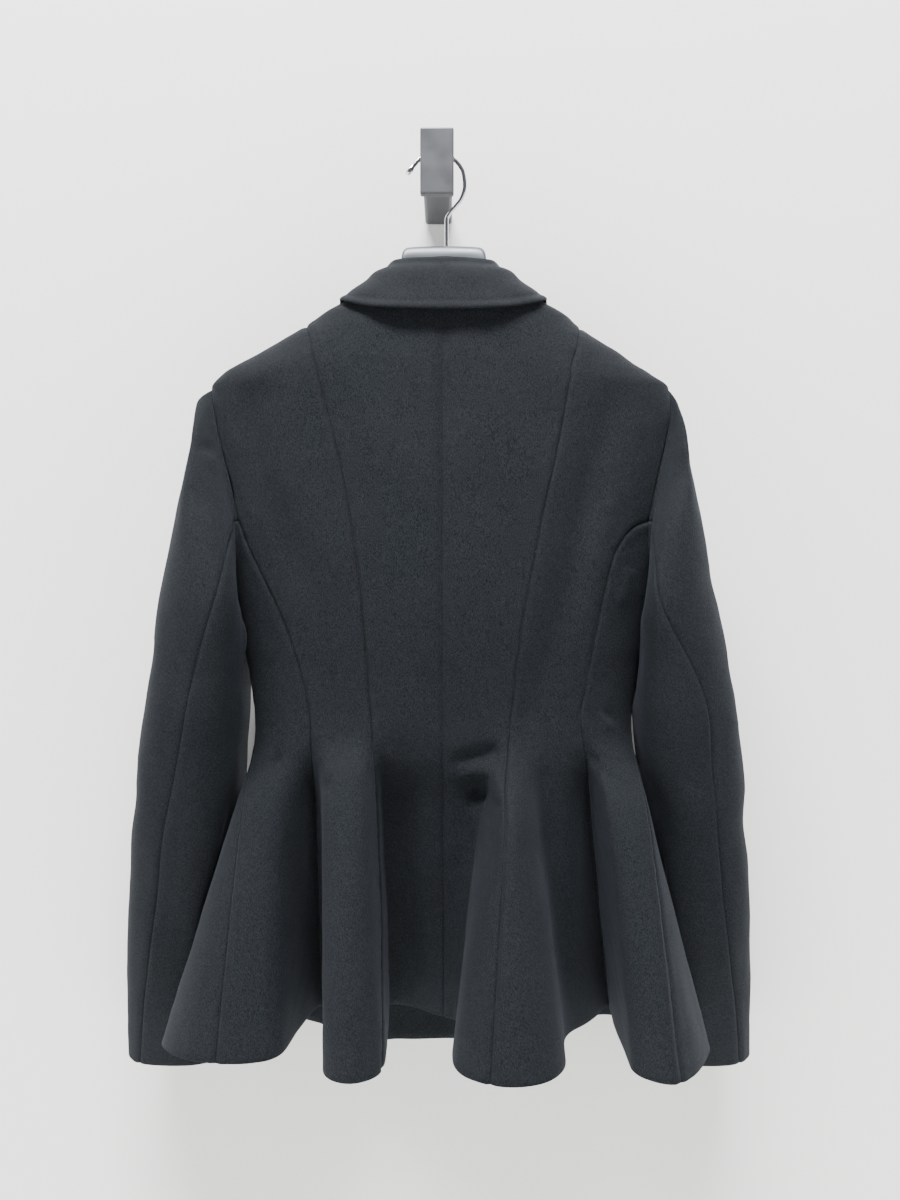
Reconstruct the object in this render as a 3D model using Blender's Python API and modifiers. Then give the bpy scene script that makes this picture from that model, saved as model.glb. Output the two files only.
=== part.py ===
"""Blazer with a fluted peplum, on a hanger that hangs from a wall hook.

Garment sizes are in millimetres, measured from the nape: x to the wearer's right,
y toward the wall (the wearer's front), z up.  Every cloth piece is a wall of even
thickness on one shared surface, so that neighbours meet edge to edge at each seam.
"""
import math

import bmesh
import bpy
import numpy as np

# Driving sizes
MM = 0.001
CLOTH = 2.0
SEAM_GAP = 0.15
NAPE_FROM_HOOK = (5.6, -110.0, -121.8)
SHOULDER_TIP_Z = -82.0
UNDERARM_Z = -270.0
WAIST_Z = -385.0
HEM_Z = -666.0
CUFF_Z = -717.0
FRONT_OVERLAP_ANGLE = 4.3
FRONT_TUCK = 2.7
ROLL_RADIUS = 1.6
SLEEVE_ROLL = 1.6
SLEEVE_CLEARANCE = 3.6
COLLAR_CLEARANCE = 5.4

# Level sections of the body: height, half width, back y, front y, squareness
SECTIONS = (
    (-385.0, 175.0, -26.0, 48.0, 2.4),
    (-341.0, 182.0, -31.0, 53.0, 2.4),
    (-320.0, 186.0, -34.0, 56.0, 2.5),
    (-270.0, 197.0, -39.0, 60.0, 2.5),
    (-235.0, 203.0, -40.0, 60.0, 2.5),
    (-170.0, 210.0, -40.0, 56.0, 2.5),
    (-120.0, 213.0, -39.0, 51.0, 2.5),
    (-82.0, 214.0, -38.0, 48.0, 2.5),
    (-70.0, 204.0, -37.4, 46.5, 2.5),
    (-63.0, 193.0, -37.0, 45.5, 2.5),
    (-51.0, 171.0, -36.0, 44.0, 2.5),
    (-33.0, 138.0, -34.6, 39.5, 2.5),
    (-26.0, 126.0, -34.0, 38.0, 2.5),
    (-14.0, 109.0, -32.6, 34.0, 2.5),
    (-6.0, 94.0, -31.8, 32.0, 2.5),
    (0.0, 85.0, -31.0, 30.0, 2.5),
    (14.0, 66.0, -26.0, 20.0, 2.5),
    (34.0, 44.0, -18.0, 8.0, 2.5),
)
# The right shoulder sits a little lower: height, change of half width
RIGHT_SHOULDER = ((-160.0, 0.0), (-120.0, -1.0), (-100.0, -3.0), (-82.0, -6.0), (-70.0, -12.0),
                  (-63.0, -13.0), (-51.0, -8.0), (-33.0, -5.0), (-20.0, 0.0))

# How far each level below the waist has moved toward the hem plan in depth
KICK = ((0.0, 0.0), (0.04, 0.03), (0.1, 0.16), (0.2, 0.36), (0.35, 0.54), (0.6, 0.75), (1.0, 1.0))

# The hem seen from above: angle round the waist, x, y
HEM_PLAN = (
    (-180.0, 0.0, 72.0),
    (-169.0, -50.0, 64.0),
    (-157.0, -90.0, 48.0),
    (-148.0, -116.0, 82.0),
    (-141.0, -148.0, 90.0),
    (-130.0, -174.0, 66.0),
    (-124.0, -190.0, 22.0),
    (-119.0, -214.0, 2.0),
    (-114.0, -243.0, -8.0),
    (-110.0, -250.0, -32.0),
    (-105.0, -236.0, -58.0),
    (-98.0, -212.0, -74.0),
    (-85.0, -180.0, -80.0),
    (-65.0, -152.0, -76.0),
    (-55.0, -137.0, -62.0),
    (-49.0, -133.0, -36.0),
    (-44.0, -128.0, -6.0),
    (-39.5, -117.0, 30.0),
    (-36.5, -100.0, -10.0),
    (-34.0, -100.0, -80.0),
    (-30.0, -92.0, -104.0),
    (-25.5, -75.0, -111.0),
    (-20.0, -58.0, -104.0),
    (-16.5, -48.0, -84.0),
    (-14.3, -50.0, 0.0),
    (-12.0, -54.0, 33.0),
    (-9.0, -35.0, 30.0),
    (-5.0, -14.0, 15.0),
    (0.0, 0.0, 6.0),
    (5.0, 9.0, 1.0),
    (10.0, 13.0, -10.0),
    (12.5, 5.0, -86.0),
    (14.2, 24.0, -106.0),
    (17.5, 58.0, -117.0),
    (20.0, 88.0, -108.0),
    (22.0, 102.0, -86.0),
    (28.0, 107.0, -39.0),
    (36.0, 134.0, -4.0),
    (42.5, 159.0, 31.0),
    (45.0, 156.0, -20.0),
    (49.0, 156.0, -84.0),
    (60.0, 166.0, -104.0),
    (85.0, 186.0, -112.0),
    (98.0, 206.0, -98.0),
    (105.0, 222.0, -72.0),
    (110.0, 235.0, -38.0),
    (114.0, 229.0, -8.0),
    (119.0, 208.0, 4.0),
    (124.0, 190.0, 24.0),
    (130.0, 176.0, 68.0),
    (141.0, 150.0, 92.0),
    (148.0, 118.0, 84.0),
    (157.0, 92.0, 50.0),
    (169.0, 50.0, 66.0),
    (180.0, 0.0, 72.0),
)

# Hem height by angle from the back
HEM_HEIGHTS = ((0.0, -666.0), (100.0, -666.0), (115.0, -674.0), (132.0, -696.0), (150.0, -711.0), (180.0, -716.0))

# Seams above the waist: height, distance from the centre line
BACK_PRINCESS = {
    1: ((-385.0, 61.0), (-338.0, 66.0), (-296.0, 71.0), (-249.0, 80.0), (-200.0, 89.0),
        (-142.0, 102.0), (-93.0, 111.0), (-44.0, 121.0), (-26.0, 126.0)),
    -1: ((-385.0, 64.5), (-338.0, 68.0), (-290.0, 71.0), (-218.0, 80.0), (-153.0, 92.0),
         (-93.0, 108.0), (-40.0, 121.0), (-26.0, 126.0)),
}
SIDE_BACK = {
    1: ((-385.0, 124.0), (-367.0, 127.0), (-329.0, 134.0), (-296.0, 140.0), (-266.0, 146.0),
        (-242.0, 152.0), (-218.0, 165.0), (-206.6, 185.0)),
    -1: ((-385.0, 119.0), (-367.0, 121.0), (-338.0, 128.0), (-307.0, 139.0), (-281.0, 152.0),
         (-249.0, 166.0), (-218.0, 180.0), (-206.6, 185.0)),
}
FRONT_PRINCESS = ((-385.0, 75.0), (-348.0, 78.0), (-300.0, 84.0), (-240.0, 90.0), (-190.0, 97.0),
                  (-142.0, 104.0), (-93.0, 112.0), (-44.0, 121.0), (-26.0, 126.0))

# Angles that the seams keep below the waist
LOWER_ANGLES = {
    1: {"back_princess": 15.6, "side_back": 42.5, "front_princess": 147.0},
    -1: {"back_princess": 17.2, "side_back": 39.5, "front_princess": 147.0},
}

# Heights at which each edge is divided, top first, and the levels from waist to hem
BACK_LEVELS = (0.0, -6.0, -14.0, -26.0, -42.0, -66.0, -100.0, -142.0, -190.0, -240.0, -290.0, -338.0)
PRINCESS_LEVELS = (-26.0, -29.0, -34.0, -42.0, -58.0, -84.0, -118.0, -158.0, -204.0, -250.0, -296.0, -342.0)
FRONT_LEVELS = (-26.0, -32.0, -45.0, -75.0, -120.0, -175.0, -225.0, -258.0, -288.0, -314.0, -340.0, -364.0)
SIDE_BACK_LEVELS = (-230.0, -258.0, -288.0, -320.0, -352.0)
SIDE_LEVELS = (-288.0, -306.0, -325.0, -344.0, -364.0)
SIDE_FRONT_LEVELS = (-292.0, -315.0, -338.0, -362.0)
ROLL_LEVELS = (14.0, 5.0, -12.0, -28.0, -60.0, -105.0, -150.0, -194.0, -238.0, -278.0, -316.0, -352.0)
PEPLUM_STEPS = (0.0, 0.05, 0.11, 0.2, 0.31, 0.44, 0.58, 0.72, 0.86, 1.0)

# Stations round the armhole: 0 at the shoulder tip, 90 at the back, 180 at the underarm
ARMHOLE_BACK = (0.0, 18.0, 36.0, 54.0, 72.0, 90.0, 109.0)
ARMHOLE_FRONT = (360.0, 330.0, 300.0, 270.0, 245.0, 222.0, 200.0, 180.0)
SIDE_COLUMNS = 9

# Sleeve tube: height, outer reach, inner reach
SLEEVE_WIDTHS = {
    1: ((-717.0, 299.0, 207.0), (-640.0, 296.0, 202.0), (-580.0, 292.0, 198.0), (-530.0, 287.5, 195.0),
        (-480.0, 282.5, 192.0), (-430.0, 277.0, 189.0), (-378.0, 269.5, 184.0), (-330.0, 258.5, 182.0),
        (-278.0, 247.0, 184.0), (-240.0, 239.3, 184.0), (-205.0, 232.4, 184.0), (-176.0, 227.3, 184.0),
        (-145.0, 222.4, 184.0), (-120.0, 220.0, 184.0), (-100.0, 217.0, 188.0), (-84.0, 213.0, 192.0)),
    -1: ((-717.0, 308.0, 207.0), (-640.0, 305.0, 203.0), (-580.0, 301.0, 199.0), (-530.0, 296.0, 195.0),
         (-480.0, 290.0, 191.0), (-430.0, 283.0, 188.0), (-378.0, 273.5, 183.0), (-330.0, 264.5, 182.0),
         (-278.0, 256.0, 185.0), (-240.0, 249.0, 185.0), (-205.0, 241.3, 185.0), (-176.0, 235.6, 185.0),
         (-145.0, 230.0, 185.0), (-120.0, 227.5, 186.0), (-100.0, 228.0, 188.0), (-84.0, 227.0, 192.0)),
}
# Sleeve tube: height, half depth, middle y, lean of the near edge over the body
SLEEVE_DEPTHS = ((-717.0, 45.0, 60.0, 0.0), (-500.0, 55.0, 28.0, 0.0), (-385.0, 62.0, 10.0, 0.0),
                 (-330.0, 66.0, 5.0, 12.0), (-278.0, 70.0, 0.0, 23.0), (-230.0, 68.0, 1.0, 19.0),
                 (-170.0, 60.0, 2.0, 8.0),
                 (-120.0, 45.0, 3.0, 0.0), (-82.0, 25.0, 4.0, 0.0))
SLEEVE_STEPS = (0.009, 0.03, 0.07, 0.14, 0.22, 0.31, 0.41, 0.51, 0.61, 0.71, 0.81, 0.91, 1.0)
SLEEVE_HEAD_REACH = {1: 26.0, -1: 13.0}
# Sleeve seams: share of the sleeve length, station round the sleeve
HINDARM = ((0.0, 109.0), (0.1, 114.0), (0.18, 114.0), (0.27, 104.0), (0.39, 93.0), (0.5, 86.0),
           (0.6, 81.0), (0.73, 76.0), (0.86, 67.0), (1.0, 58.0))
FOREARM = ((0.0, 245.0), (0.2, 247.0), (0.5, 252.0), (1.0, 262.0))

# Lapel edge: share of the roll line, x, z
LAPEL_EDGE = ((0.0, 112.0, -60.0), (0.1, 109.0, -86.0), (0.25, 97.0, -124.0), (0.45, 77.0, -176.0),
              (0.65, 52.0, -228.0), (0.85, 24.0, -272.0), (1.0, 6.0, -300.0))
LAPEL_COLUMNS = (0.1, 0.3, 0.55, 0.8, 1.0)
LAPEL_ROWS = 13
LEFT_LAPEL_SHARE = 0.72
LAPEL_GAP = 0.7

# Collar, from the nape round to the front: share, fold point, leaf edge point
COLLAR = (
    (0.0, (0.0, -22.0, 30.5), (0.0, -43.0, -21.6)),
    (0.25, (22.0, -20.0, 30.5), (37.0, -42.5, -21.0)),
    (0.45, (42.0, -14.0, 30.5), (70.0, -34.0, -16.0)),
    (0.62, (50.0, -2.0, 29.0), (91.5, -6.0, -3.0)),
    (0.78, (56.0, 14.0, 21.0), (99.0, 20.0, -8.0)),
    (0.9, (54.5, 28.0, 5.0), (103.0, 39.0, -28.0)),
    (1.0, (50.5, 39.5, -16.0), (93.0, 48.0, -45.0)),
)

COLLAR_SHARES = (0.0, 0.1033, 0.2067, 0.31, 0.4133, 0.465, 0.5167, 0.568, 0.62, 0.7014, 0.78, 0.855, 0.93, 1.0)

# Hanger: x, top z, bottom z, half depth, middle y
HANGER = (
    (-187.0, -67.0, -80.0, 8.0, 4.0),
    (-184.0, -63.5, -84.0, 13.0, 4.0),
    (-176.0, -59.0, -85.0, 15.0, 4.0),
    (-150.0, -44.3, -72.0, 14.0, 3.5),
    (-130.0, -33.2, -60.0, 13.5, 2.5),
    (-110.0, -19.7, -48.0, 12.0, 2.0),
    (-78.0, -0.9, -25.0, 11.0, 0.0),
    (-57.0, 9.0, -12.0, 9.0, 0.0),
    (-44.0, 18.0, -3.0, 9.0, 0.0),
    (-39.5, 32.0, 0.0, 9.0, 0.0),
    (-37.5, 43.0, 2.0, 9.0, 0.0),
    (-33.0, 47.2, 3.0, 9.0, 0.0),
    (-18.0, 48.2, 4.0, 9.0, 0.0),
    (2.0, 48.5, 4.0, 9.0, 0.0),
    (22.0, 48.2, 4.0, 9.0, 0.0),
    (34.0, 47.2, 3.0, 9.0, 0.0),
    (38.5, 43.0, 2.0, 9.0, 0.0),
    (40.5, 32.0, 0.0, 9.0, 0.0),
    (45.0, 18.0, -3.0, 9.0, 0.0),
    (58.0, 9.0, -12.0, 9.0, 0.0),
    (78.0, -0.9, -25.0, 11.0, 0.0),
    (110.0, -20.3, -48.0, 12.0, 2.0),
    (130.0, -35.5, -61.0, 13.0, 2.5),
    (150.0, -48.1, -75.0, 13.5, 3.5),
    (174.0, -65.0, -90.0, 15.0, 4.0),
    (182.0, -69.5, -88.0, 13.0, 4.0),
    (185.0, -73.0, -84.0, 8.0, 4.0),
)
HANGER_RING = 14
# Wire hook: x, z, relative thickness
WIRE = ((3.0, 49.0, 1.0), (3.0, 62.0, 1.0), (3.0, 73.0, 1.0), (6.0, 79.5, 1.0), (11.5, 86.0, 1.0),
        (17.0, 93.5, 1.0), (20.0, 105.5, 1.0), (18.6, 117.0, 1.0), (12.0, 127.6, 1.0),
        (3.4, 133.6, 1.0), (-5.3, 135.5, 1.0), (-14.0, 134.2, 1.0), (-21.6, 129.8, 1.0),
        (-27.4, 123.6, 1.0), (-30.2, 120.0, 1.35), (-32.2, 117.3, 1.35), (-33.3, 115.6, 0.8))
WIRE_RADIUS = 1.85

# Wall hook, in the frame of its wall face
ARM_SIZE = (28.0, 121.7, 15.6)
PLATE_SIZE = (30.5, 8.0, 60.0)
PLATE_CENTRE = (0.0, -126.0, -2.7)

# Button: radius and height rows, turned round its axis, top first
BUTTON_PROFILE = ((0.0, 3.2), (6.0, 3.2), (7.4, 4.2), (9.2, 4.2), (10.0, 3.2), (9.6, 1.2), (8.0, 0.0), (0.0, 0.0))
BUTTON_Z = -372.0

MATERIALS = {
    "wool": ((0.012, 0.014, 0.020), 0.85, 0.0),
    "button": ((0.016, 0.016, 0.018), 0.35, 0.0),
    "hanger": ((0.035, 0.045, 0.060), 0.38, 0.0),
    "chrome": ((0.62, 0.63, 0.65), 0.16, 1.0),
    "anthracite": ((0.035, 0.037, 0.042), 0.42, 0.0),
}


# Tables and curves

def follow(table, at, column=1):
    """Value of one column of a table at given places, along a smooth curve with no overshoot."""
    rows = np.array([[row[0], row[column]] for row in table], dtype=float)
    x = rows[:, 0]
    y = rows[:, 1]
    step = np.diff(x)
    rise = np.diff(y) / step
    slope = np.zeros(len(x))
    slope[0] = rise[0]
    slope[-1] = rise[-1]
    for i in range(1, len(x) - 1):
        if rise[i - 1] * rise[i] > 0.0:
            before = 2.0 * step[i] + step[i - 1]
            after = step[i] + 2.0 * step[i - 1]
            slope[i] = (before + after) / (before / rise[i - 1] + after / rise[i])
    place = np.clip(np.asarray(at, dtype=float), x[0], x[-1])
    i = np.clip(np.searchsorted(x, place, side="right") - 1, 0, len(x) - 2)
    h = step[i]
    t = (place - x[i]) / h
    return (y[i] * (2.0 * t ** 3 - 3.0 * t ** 2 + 1.0) + h * slope[i] * (t ** 3 - 2.0 * t ** 2 + t)
            + y[i + 1] * (3.0 * t ** 2 - 2.0 * t ** 3) + h * slope[i + 1] * (t ** 3 - t ** 2))


def unit(vectors):
    """Vectors scaled to length one."""
    length = np.linalg.norm(vectors, axis=-1, keepdims=True)
    return vectors / np.maximum(length, 1e-9)


def ease(t):
    """Smooth step from 0 to 1."""
    t = np.clip(t, 0.0, 1.0)
    return t * t * (3.0 - 2.0 * t)


# The shared surface of the body

def torso(angle, height):
    """Outer face of the body: angle 0 is the centre back, 90 the wearer's right, 180 the front."""
    angle, height = np.broadcast_arrays(np.asarray(angle, float), np.asarray(height, float))
    turn = (angle + 180.0) % 360.0 - 180.0
    level = np.maximum(height, WAIST_Z)
    half = follow(SECTIONS, level, 1)
    back = follow(SECTIONS, level, 2)
    front = follow(SECTIONS, level, 3)
    power = 2.0 / follow(SECTIONS, level, 4)
    sine = np.sin(np.radians(turn))
    cosine = np.cos(np.radians(turn))
    middle = 0.5 * (back + front)
    half = half + np.where(sine > 0.0, follow(RIGHT_SHOULDER, level), 0.0)
    x = half * np.sign(sine) * np.abs(sine) ** power
    y = middle - 0.5 * (front - back) * np.sign(cosine) * np.abs(cosine) ** power
    fall = np.clip((WAIST_Z - height) / (WAIST_Z - HEM_Z), 0.0, 1.0)
    kick = follow(KICK, fall)
    x = (1.0 - fall) * x + fall * follow(HEM_PLAN, turn, 1)
    y = (1.0 - kick) * y + kick * follow(HEM_PLAN, turn, 2)
    z = np.where(height >= WAIST_Z, height, WAIST_Z + fall * (follow(HEM_HEIGHTS, np.abs(turn)) - WAIST_Z))
    return np.stack([x, y, z], axis=-1)


def torso_normal(angle, height):
    """Outward direction of the body surface."""
    angle, height = np.broadcast_arrays(np.asarray(angle, float), np.asarray(height, float))
    middle = torso(angle, height)
    around = unit(torso(angle + 0.4, height) - middle) + unit(middle - torso(angle - 0.4, height))
    upward = torso(angle, height + 1.5) - torso(angle, np.maximum(height - 1.5, HEM_Z))
    return unit(np.cross(around, upward))


def tuck(x, side):
    """How far the left front lies under the right one near the centre."""
    if side > 0:
        return np.zeros_like(x)
    return FRONT_TUCK * ease((x + 52.0) / 28.0)


def front_face(angle, height, side, lift=0.0):
    """Point of a front at a height above its own outer face."""
    base = torso(angle, height)
    normal = torso_normal(angle, height)
    return base + normal * (lift - tuck(base[..., 0], side))[..., None]


def angle_at(x, height, front=False):
    """Angle of the point of a section that is x from the centre line, with x's sign."""
    half = float(follow(SECTIONS, height, 1))
    power = float(follow(SECTIONS, height, 4)) / 2.0
    turn = math.degrees(math.asin(min(1.0, abs(x) / half) ** power))
    if front:
        return math.copysign(180.0 - turn, x)
    return math.copysign(turn, x)


def armhole(station, side):
    """Angle and height of a station round the armhole."""
    c = math.cos(math.radians(station))
    s = math.sin(math.radians(station))
    middle = 0.5 * (SHOULDER_TIP_Z + UNDERARM_Z)
    radius = 0.5 * (SHOULDER_TIP_Z - UNDERARM_Z)
    return side * (90.0 - (26.0 - 12.5 * c) * s), middle + radius * c


def roll_x(height):
    """Distance of the right roll line from the centre, at a height; it crosses to the left low down."""
    return 66.0 - 0.223 * (14.0 - height) - 7.0 * math.sin(math.pi * min(1.0, (14.0 - height) / 366.0))


def roll_angle(height, side):
    """Angle of the roll line or front edge at a height."""
    if height >= 13.9:
        return side * 90.0
    x = roll_x(height)
    half = float(follow(SECTIONS, height, 1))
    power = float(follow(SECTIONS, height, 4)) / 2.0
    turn = math.degrees(math.asin(min(1.0, abs(x) / half) ** power))
    return side * (180.0 - math.copysign(turn, x))


# Panels as grids of angle and height

def lower_levels():
    """Heights from waist to hem."""
    return [WAIST_Z + step * (HEM_Z - WAIST_Z) for step in PEPLUM_STEPS]


def lower_edge(top_angle, low_angle):
    """An edge below the waist, easing from its waist angle to the angle it keeps."""
    edge = []
    for step, height in zip(PEPLUM_STEPS, lower_levels()):
        edge.append((top_angle + (low_angle - top_angle) * min(1.0, step / 0.2), height))
    return edge


def seam_edge(levels, table, side, low_angle, front=False):
    """An edge that follows a seam table down to the waist and then keeps its angle."""
    edge = [(angle_at(side * float(follow(table, z)), z, front), z) for z in levels]
    waist = angle_at(side * float(follow(table, WAIST_Z)), WAIST_Z, front)
    return edge + lower_edge(waist, side * low_angle)


def straight_edge(levels, angle):
    """An edge at one angle all the way down."""
    return [(angle, z) for z in levels] + [(angle, z) for z in lower_levels()]


def hem_shares(first, last, count):
    """Shares of the angle between two edges that space a hem evenly along its length."""
    angles = np.linspace(first, last, 240)
    points = torso(angles, HEM_Z)
    lengths = np.concatenate([[0.0], np.cumsum(np.linalg.norm(np.diff(points, axis=0), axis=1))])
    even = np.interp(np.linspace(0.0, lengths[-1], count), lengths, angles)
    return 0.85 * (even - first) / (last - first) + 0.15 * np.linspace(0.0, 1.0, count)


def panel_grid(first, last, top, columns):
    """Angles and heights between two edges; top gives the upper edge, column by column."""
    rows = len(first)
    shares = hem_shares(first[-1][0], last[-1][0], columns)
    angles = np.zeros((rows, columns))
    heights = np.zeros((rows, columns))
    width = top[-1][0] - top[0][0]
    top_shares = shares
    if abs(width) > 1.0:
        top_shares = np.array([(angle - top[0][0]) / width for angle, _ in top])
    rise = np.array([z for _, z in top]) - (top[0][1] + (top[-1][1] - top[0][1]) * top_shares)
    for i in range(rows):
        keep = max(0.0, 1.0 - i / 6.0) ** 2
        share = keep * top_shares + (1.0 - keep) * shares
        angles[i] = first[i][0] + share * (last[i][0] - first[i][0])
        heights[i] = first[i][1] + share * (last[i][1] - first[i][1]) + keep * rise
    return angles, heights


# Solids

def inset(points, normals, gap):
    """Draw the four edges of a grid inward along the surface, to leave the seam gap."""
    moved = points.copy()
    rows, columns = points.shape[:2]
    sides = (
        (points[:, 0], points[:, 1], normals[:, 0], (slice(None), 0)),
        (points[:, -1], points[:, -2], normals[:, -1], (slice(None), columns - 1)),
        (points[0], points[1], normals[0], (0, slice(None))),
        (points[-1], points[-2], normals[-1], (rows - 1, slice(None))),
    )
    for edge, inner, normal, place in sides:
        along = np.gradient(edge, axis=0)
        across = unit(np.cross(normal, along))
        toward = np.sign(np.sum(across * (inner - edge), axis=-1, keepdims=True))
        moved[place] += gap * across * toward
    return moved


def wall_mesh(points, normals, outward, inward):
    """Vertices, faces and count of broad faces of a wall on a grid."""
    rows, columns = points.shape[:2]
    count = rows * columns
    outer = (points + outward * normals).reshape(-1, 3)
    inner = (points - inward * normals).reshape(-1, 3)
    faces = []
    for i in range(rows - 1):
        for j in range(columns - 1):
            a = i * columns + j
            b = a + 1
            c = a + columns + 1
            d = a + columns
            faces.append((a, b, c, d))
            faces.append((count + d, count + c, count + b, count + a))
    broad = len(faces)
    rim = [j for j in range(columns)]
    rim += [i * columns + columns - 1 for i in range(1, rows)]
    rim += [(rows - 1) * columns + j for j in range(columns - 2, -1, -1)]
    rim += [i * columns for i in range(rows - 2, 0, -1)]
    for k, a in enumerate(rim):
        b = rim[(k + 1) % len(rim)]
        faces.append((b, a, count + a, count + b))
    return np.vstack([outer, inner]), faces, broad


def link(obj, material, parent=None, shift=(0.0, 0.0, 0.0)):
    """Put an object into the collection with its material and parent."""
    obj.data.materials.append(material)
    bpy.data.collections["blazer"].objects.link(obj)
    obj.parent = parent
    obj.location = [MM * s for s in shift]
    return obj


def solid(name, vertices, faces, material, parent, broad=None):
    """An object from vertices in millimetres; the first broad faces are shaded smooth."""
    mesh = bpy.data.meshes.new(name)
    mesh.from_pydata([tuple(MM * c for c in v) for v in vertices], [], faces)
    smooth = len(faces) if broad is None else broad
    mesh.polygons.foreach_set("use_smooth", [k < smooth for k in range(len(mesh.polygons))])
    shell = bmesh.new()
    shell.from_mesh(mesh)
    bmesh.ops.recalc_face_normals(shell, faces=shell.faces)
    shell.to_mesh(mesh)
    shell.free()
    mesh.update()
    return link(bpy.data.objects.new(name, mesh), material, parent)


def cloth_wall(name, points, normals, material, parent, outward=0.0, inward=CLOTH, gap=SEAM_GAP):
    """A cloth piece on a grid of points."""
    moved = inset(points, normals, gap)
    vertices, faces, broad = wall_mesh(moved, normals, outward, inward)
    return solid(name, vertices, faces, material, parent, broad)


# Body panels

def add_panels(side, name_side, wool, parent):
    """The five panels of one half of the body."""
    low = LOWER_ANGLES[side]
    middle_back = straight_edge(BACK_LEVELS, 0.0)
    princess = seam_edge(PRINCESS_LEVELS, BACK_PRINCESS[side], side, low["back_princess"])
    side_back = seam_edge(SIDE_BACK_LEVELS, SIDE_BACK[side], side, low["side_back"])
    side_seam = straight_edge(SIDE_LEVELS, side * 90.0)
    front_princess = seam_edge(FRONT_LEVELS, FRONT_PRINCESS, side, low["front_princess"], front=True)
    roll = [(roll_angle(z, side), z) for z in ROLL_LEVELS]
    roll += lower_edge(roll_angle(WAIST_Z, side), side * (180.0 + FRONT_OVERLAP_ANGLE))

    armhole_back = [armhole(s, side) for s in ARMHOLE_BACK]
    armhole_low = [armhole(s, side) for s in np.linspace(ARMHOLE_BACK[-1], 180.0, SIDE_COLUMNS)]
    armhole_front = [armhole(s, side) for s in ARMHOLE_FRONT]

    neck = [(side * a, 14.0 * (a / 90.0) ** 1.3) for a in np.linspace(0.0, 90.0, 7)]
    yoke = [(side * 90.0, z) for z in np.linspace(14.0, PRINCESS_LEVELS[0], 5)[1:]]
    add_panel("back_" + name_side, middle_back, princess, neck + yoke, 11, side, wool, parent)

    ridge = [(side * 90.0, z) for z in np.linspace(PRINCESS_LEVELS[0], SHOULDER_TIP_Z, 12)]
    add_panel("side_back_" + name_side, princess, armhole_back + side_back, ridge, 12, side, wool, parent)

    add_panel("side_" + name_side, [armhole_back[-1]] + side_back, [(side * 90.0, UNDERARM_Z)] + side_seam,
              armhole_low, SIDE_COLUMNS, side, wool, parent)

    ridge = [(side * 90.0, z) for z in np.linspace(SHOULDER_TIP_Z, PRINCESS_LEVELS[0], 13)]
    side_seam = straight_edge(SIDE_FRONT_LEVELS, side * 90.0)
    add_panel("side_front_" + name_side, armhole_front + side_seam, front_princess, ridge, 13, side,
              wool, parent)

    yoke = [(side * 90.0, z) for z in np.linspace(PRINCESS_LEVELS[0], 14.0, 9)]
    add_panel("front_" + name_side, front_princess, roll, yoke, 9, side, wool, parent)


def add_panel(name, first, last, top, columns, side, wool, parent):
    """One panel between two edges, as a wall on the shared surface."""
    angles, heights = panel_grid(first, last, top, columns)
    normals = torso_normal(angles, heights)
    points = torso(angles, heights)
    if name.startswith("front_"):
        points = front_face(angles, heights, side)
    cloth_wall(name, points, normals, wool, parent)


# Sleeves

def body_reach(side, y, height):
    """How far the body reaches sideways at a depth and height."""
    points = torso(side * np.linspace(30.0, 170.0, 120), height)
    xs = np.abs(points[:, 0])
    ys = points[:, 1]
    best = 0.0
    for level in (y - SLEEVE_CLEARANCE, y, y + SLEEVE_CLEARANCE):
        crossing = (ys[:-1] - level) * (ys[1:] - level) <= 0.0
        if crossing.any():
            best = max(best, float(np.maximum(xs[:-1], xs[1:])[crossing].max()))
    return best


def sleeve_tube(station, height, side):
    """Point of the sleeve as a plain tube, kept clear of the body."""
    outer = float(follow(SLEEVE_WIDTHS[side], height, 1))
    inner = float(follow(SLEEVE_WIDTHS[side], height, 2))
    depth = float(follow(SLEEVE_DEPTHS, height, 1))
    middle = float(follow(SLEEVE_DEPTHS, height, 2))
    lean = float(follow(SLEEVE_DEPTHS, height, 3))
    c = math.cos(math.radians(station))
    s = math.sin(math.radians(station))
    x = 0.5 * (outer + inner) + 0.5 * (outer - inner) * math.copysign(abs(c) ** 0.82, c)
    y = middle - depth * math.copysign(abs(s) ** 0.82, s)
    x -= lean * max(0.0, (middle - y) / depth) * (1.0 if c < 0.0 else 1.0 - c)
    return np.array([side * x, y, height])


def sleeve_point(station, share, start, side):
    """Point of the sleeve at a share of the way from the armhole to the cuff."""
    height = start[2] + share * (CUFF_Z - start[2])
    c = math.cos(math.radians(station))
    reach = 70.0 - (70.0 - SLEEVE_HEAD_REACH[side]) * max(0.0, c) ** 2 - 30.0 * max(0.0, -c) ** 2
    away = max(0.0, 1.0 - (start[2] - height) / reach) ** 2
    point = sleeve_tube(station, height, side)
    point += away * (start - sleeve_tube(station, start[2], side))
    least = body_reach(side, point[1], height) + SLEEVE_CLEARANCE + 1.5 * ease((point[1] - 8.0) / 12.0)
    if abs(point[0]) < least and start[2] - height > 0.5:
        point[0] = side * least
    return point


def sleeve_stations(share, upper, under):
    """Stations round the sleeve at one level, between its two seams."""
    hind = float(follow(HINDARM, share))
    fore = float(follow(FOREARM, share))
    stations = [hind + (fore - hind) * u for u in under]
    stations += [fore + (hind + 360.0 - fore) * u for u in upper[1:-1]]
    return stations


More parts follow.
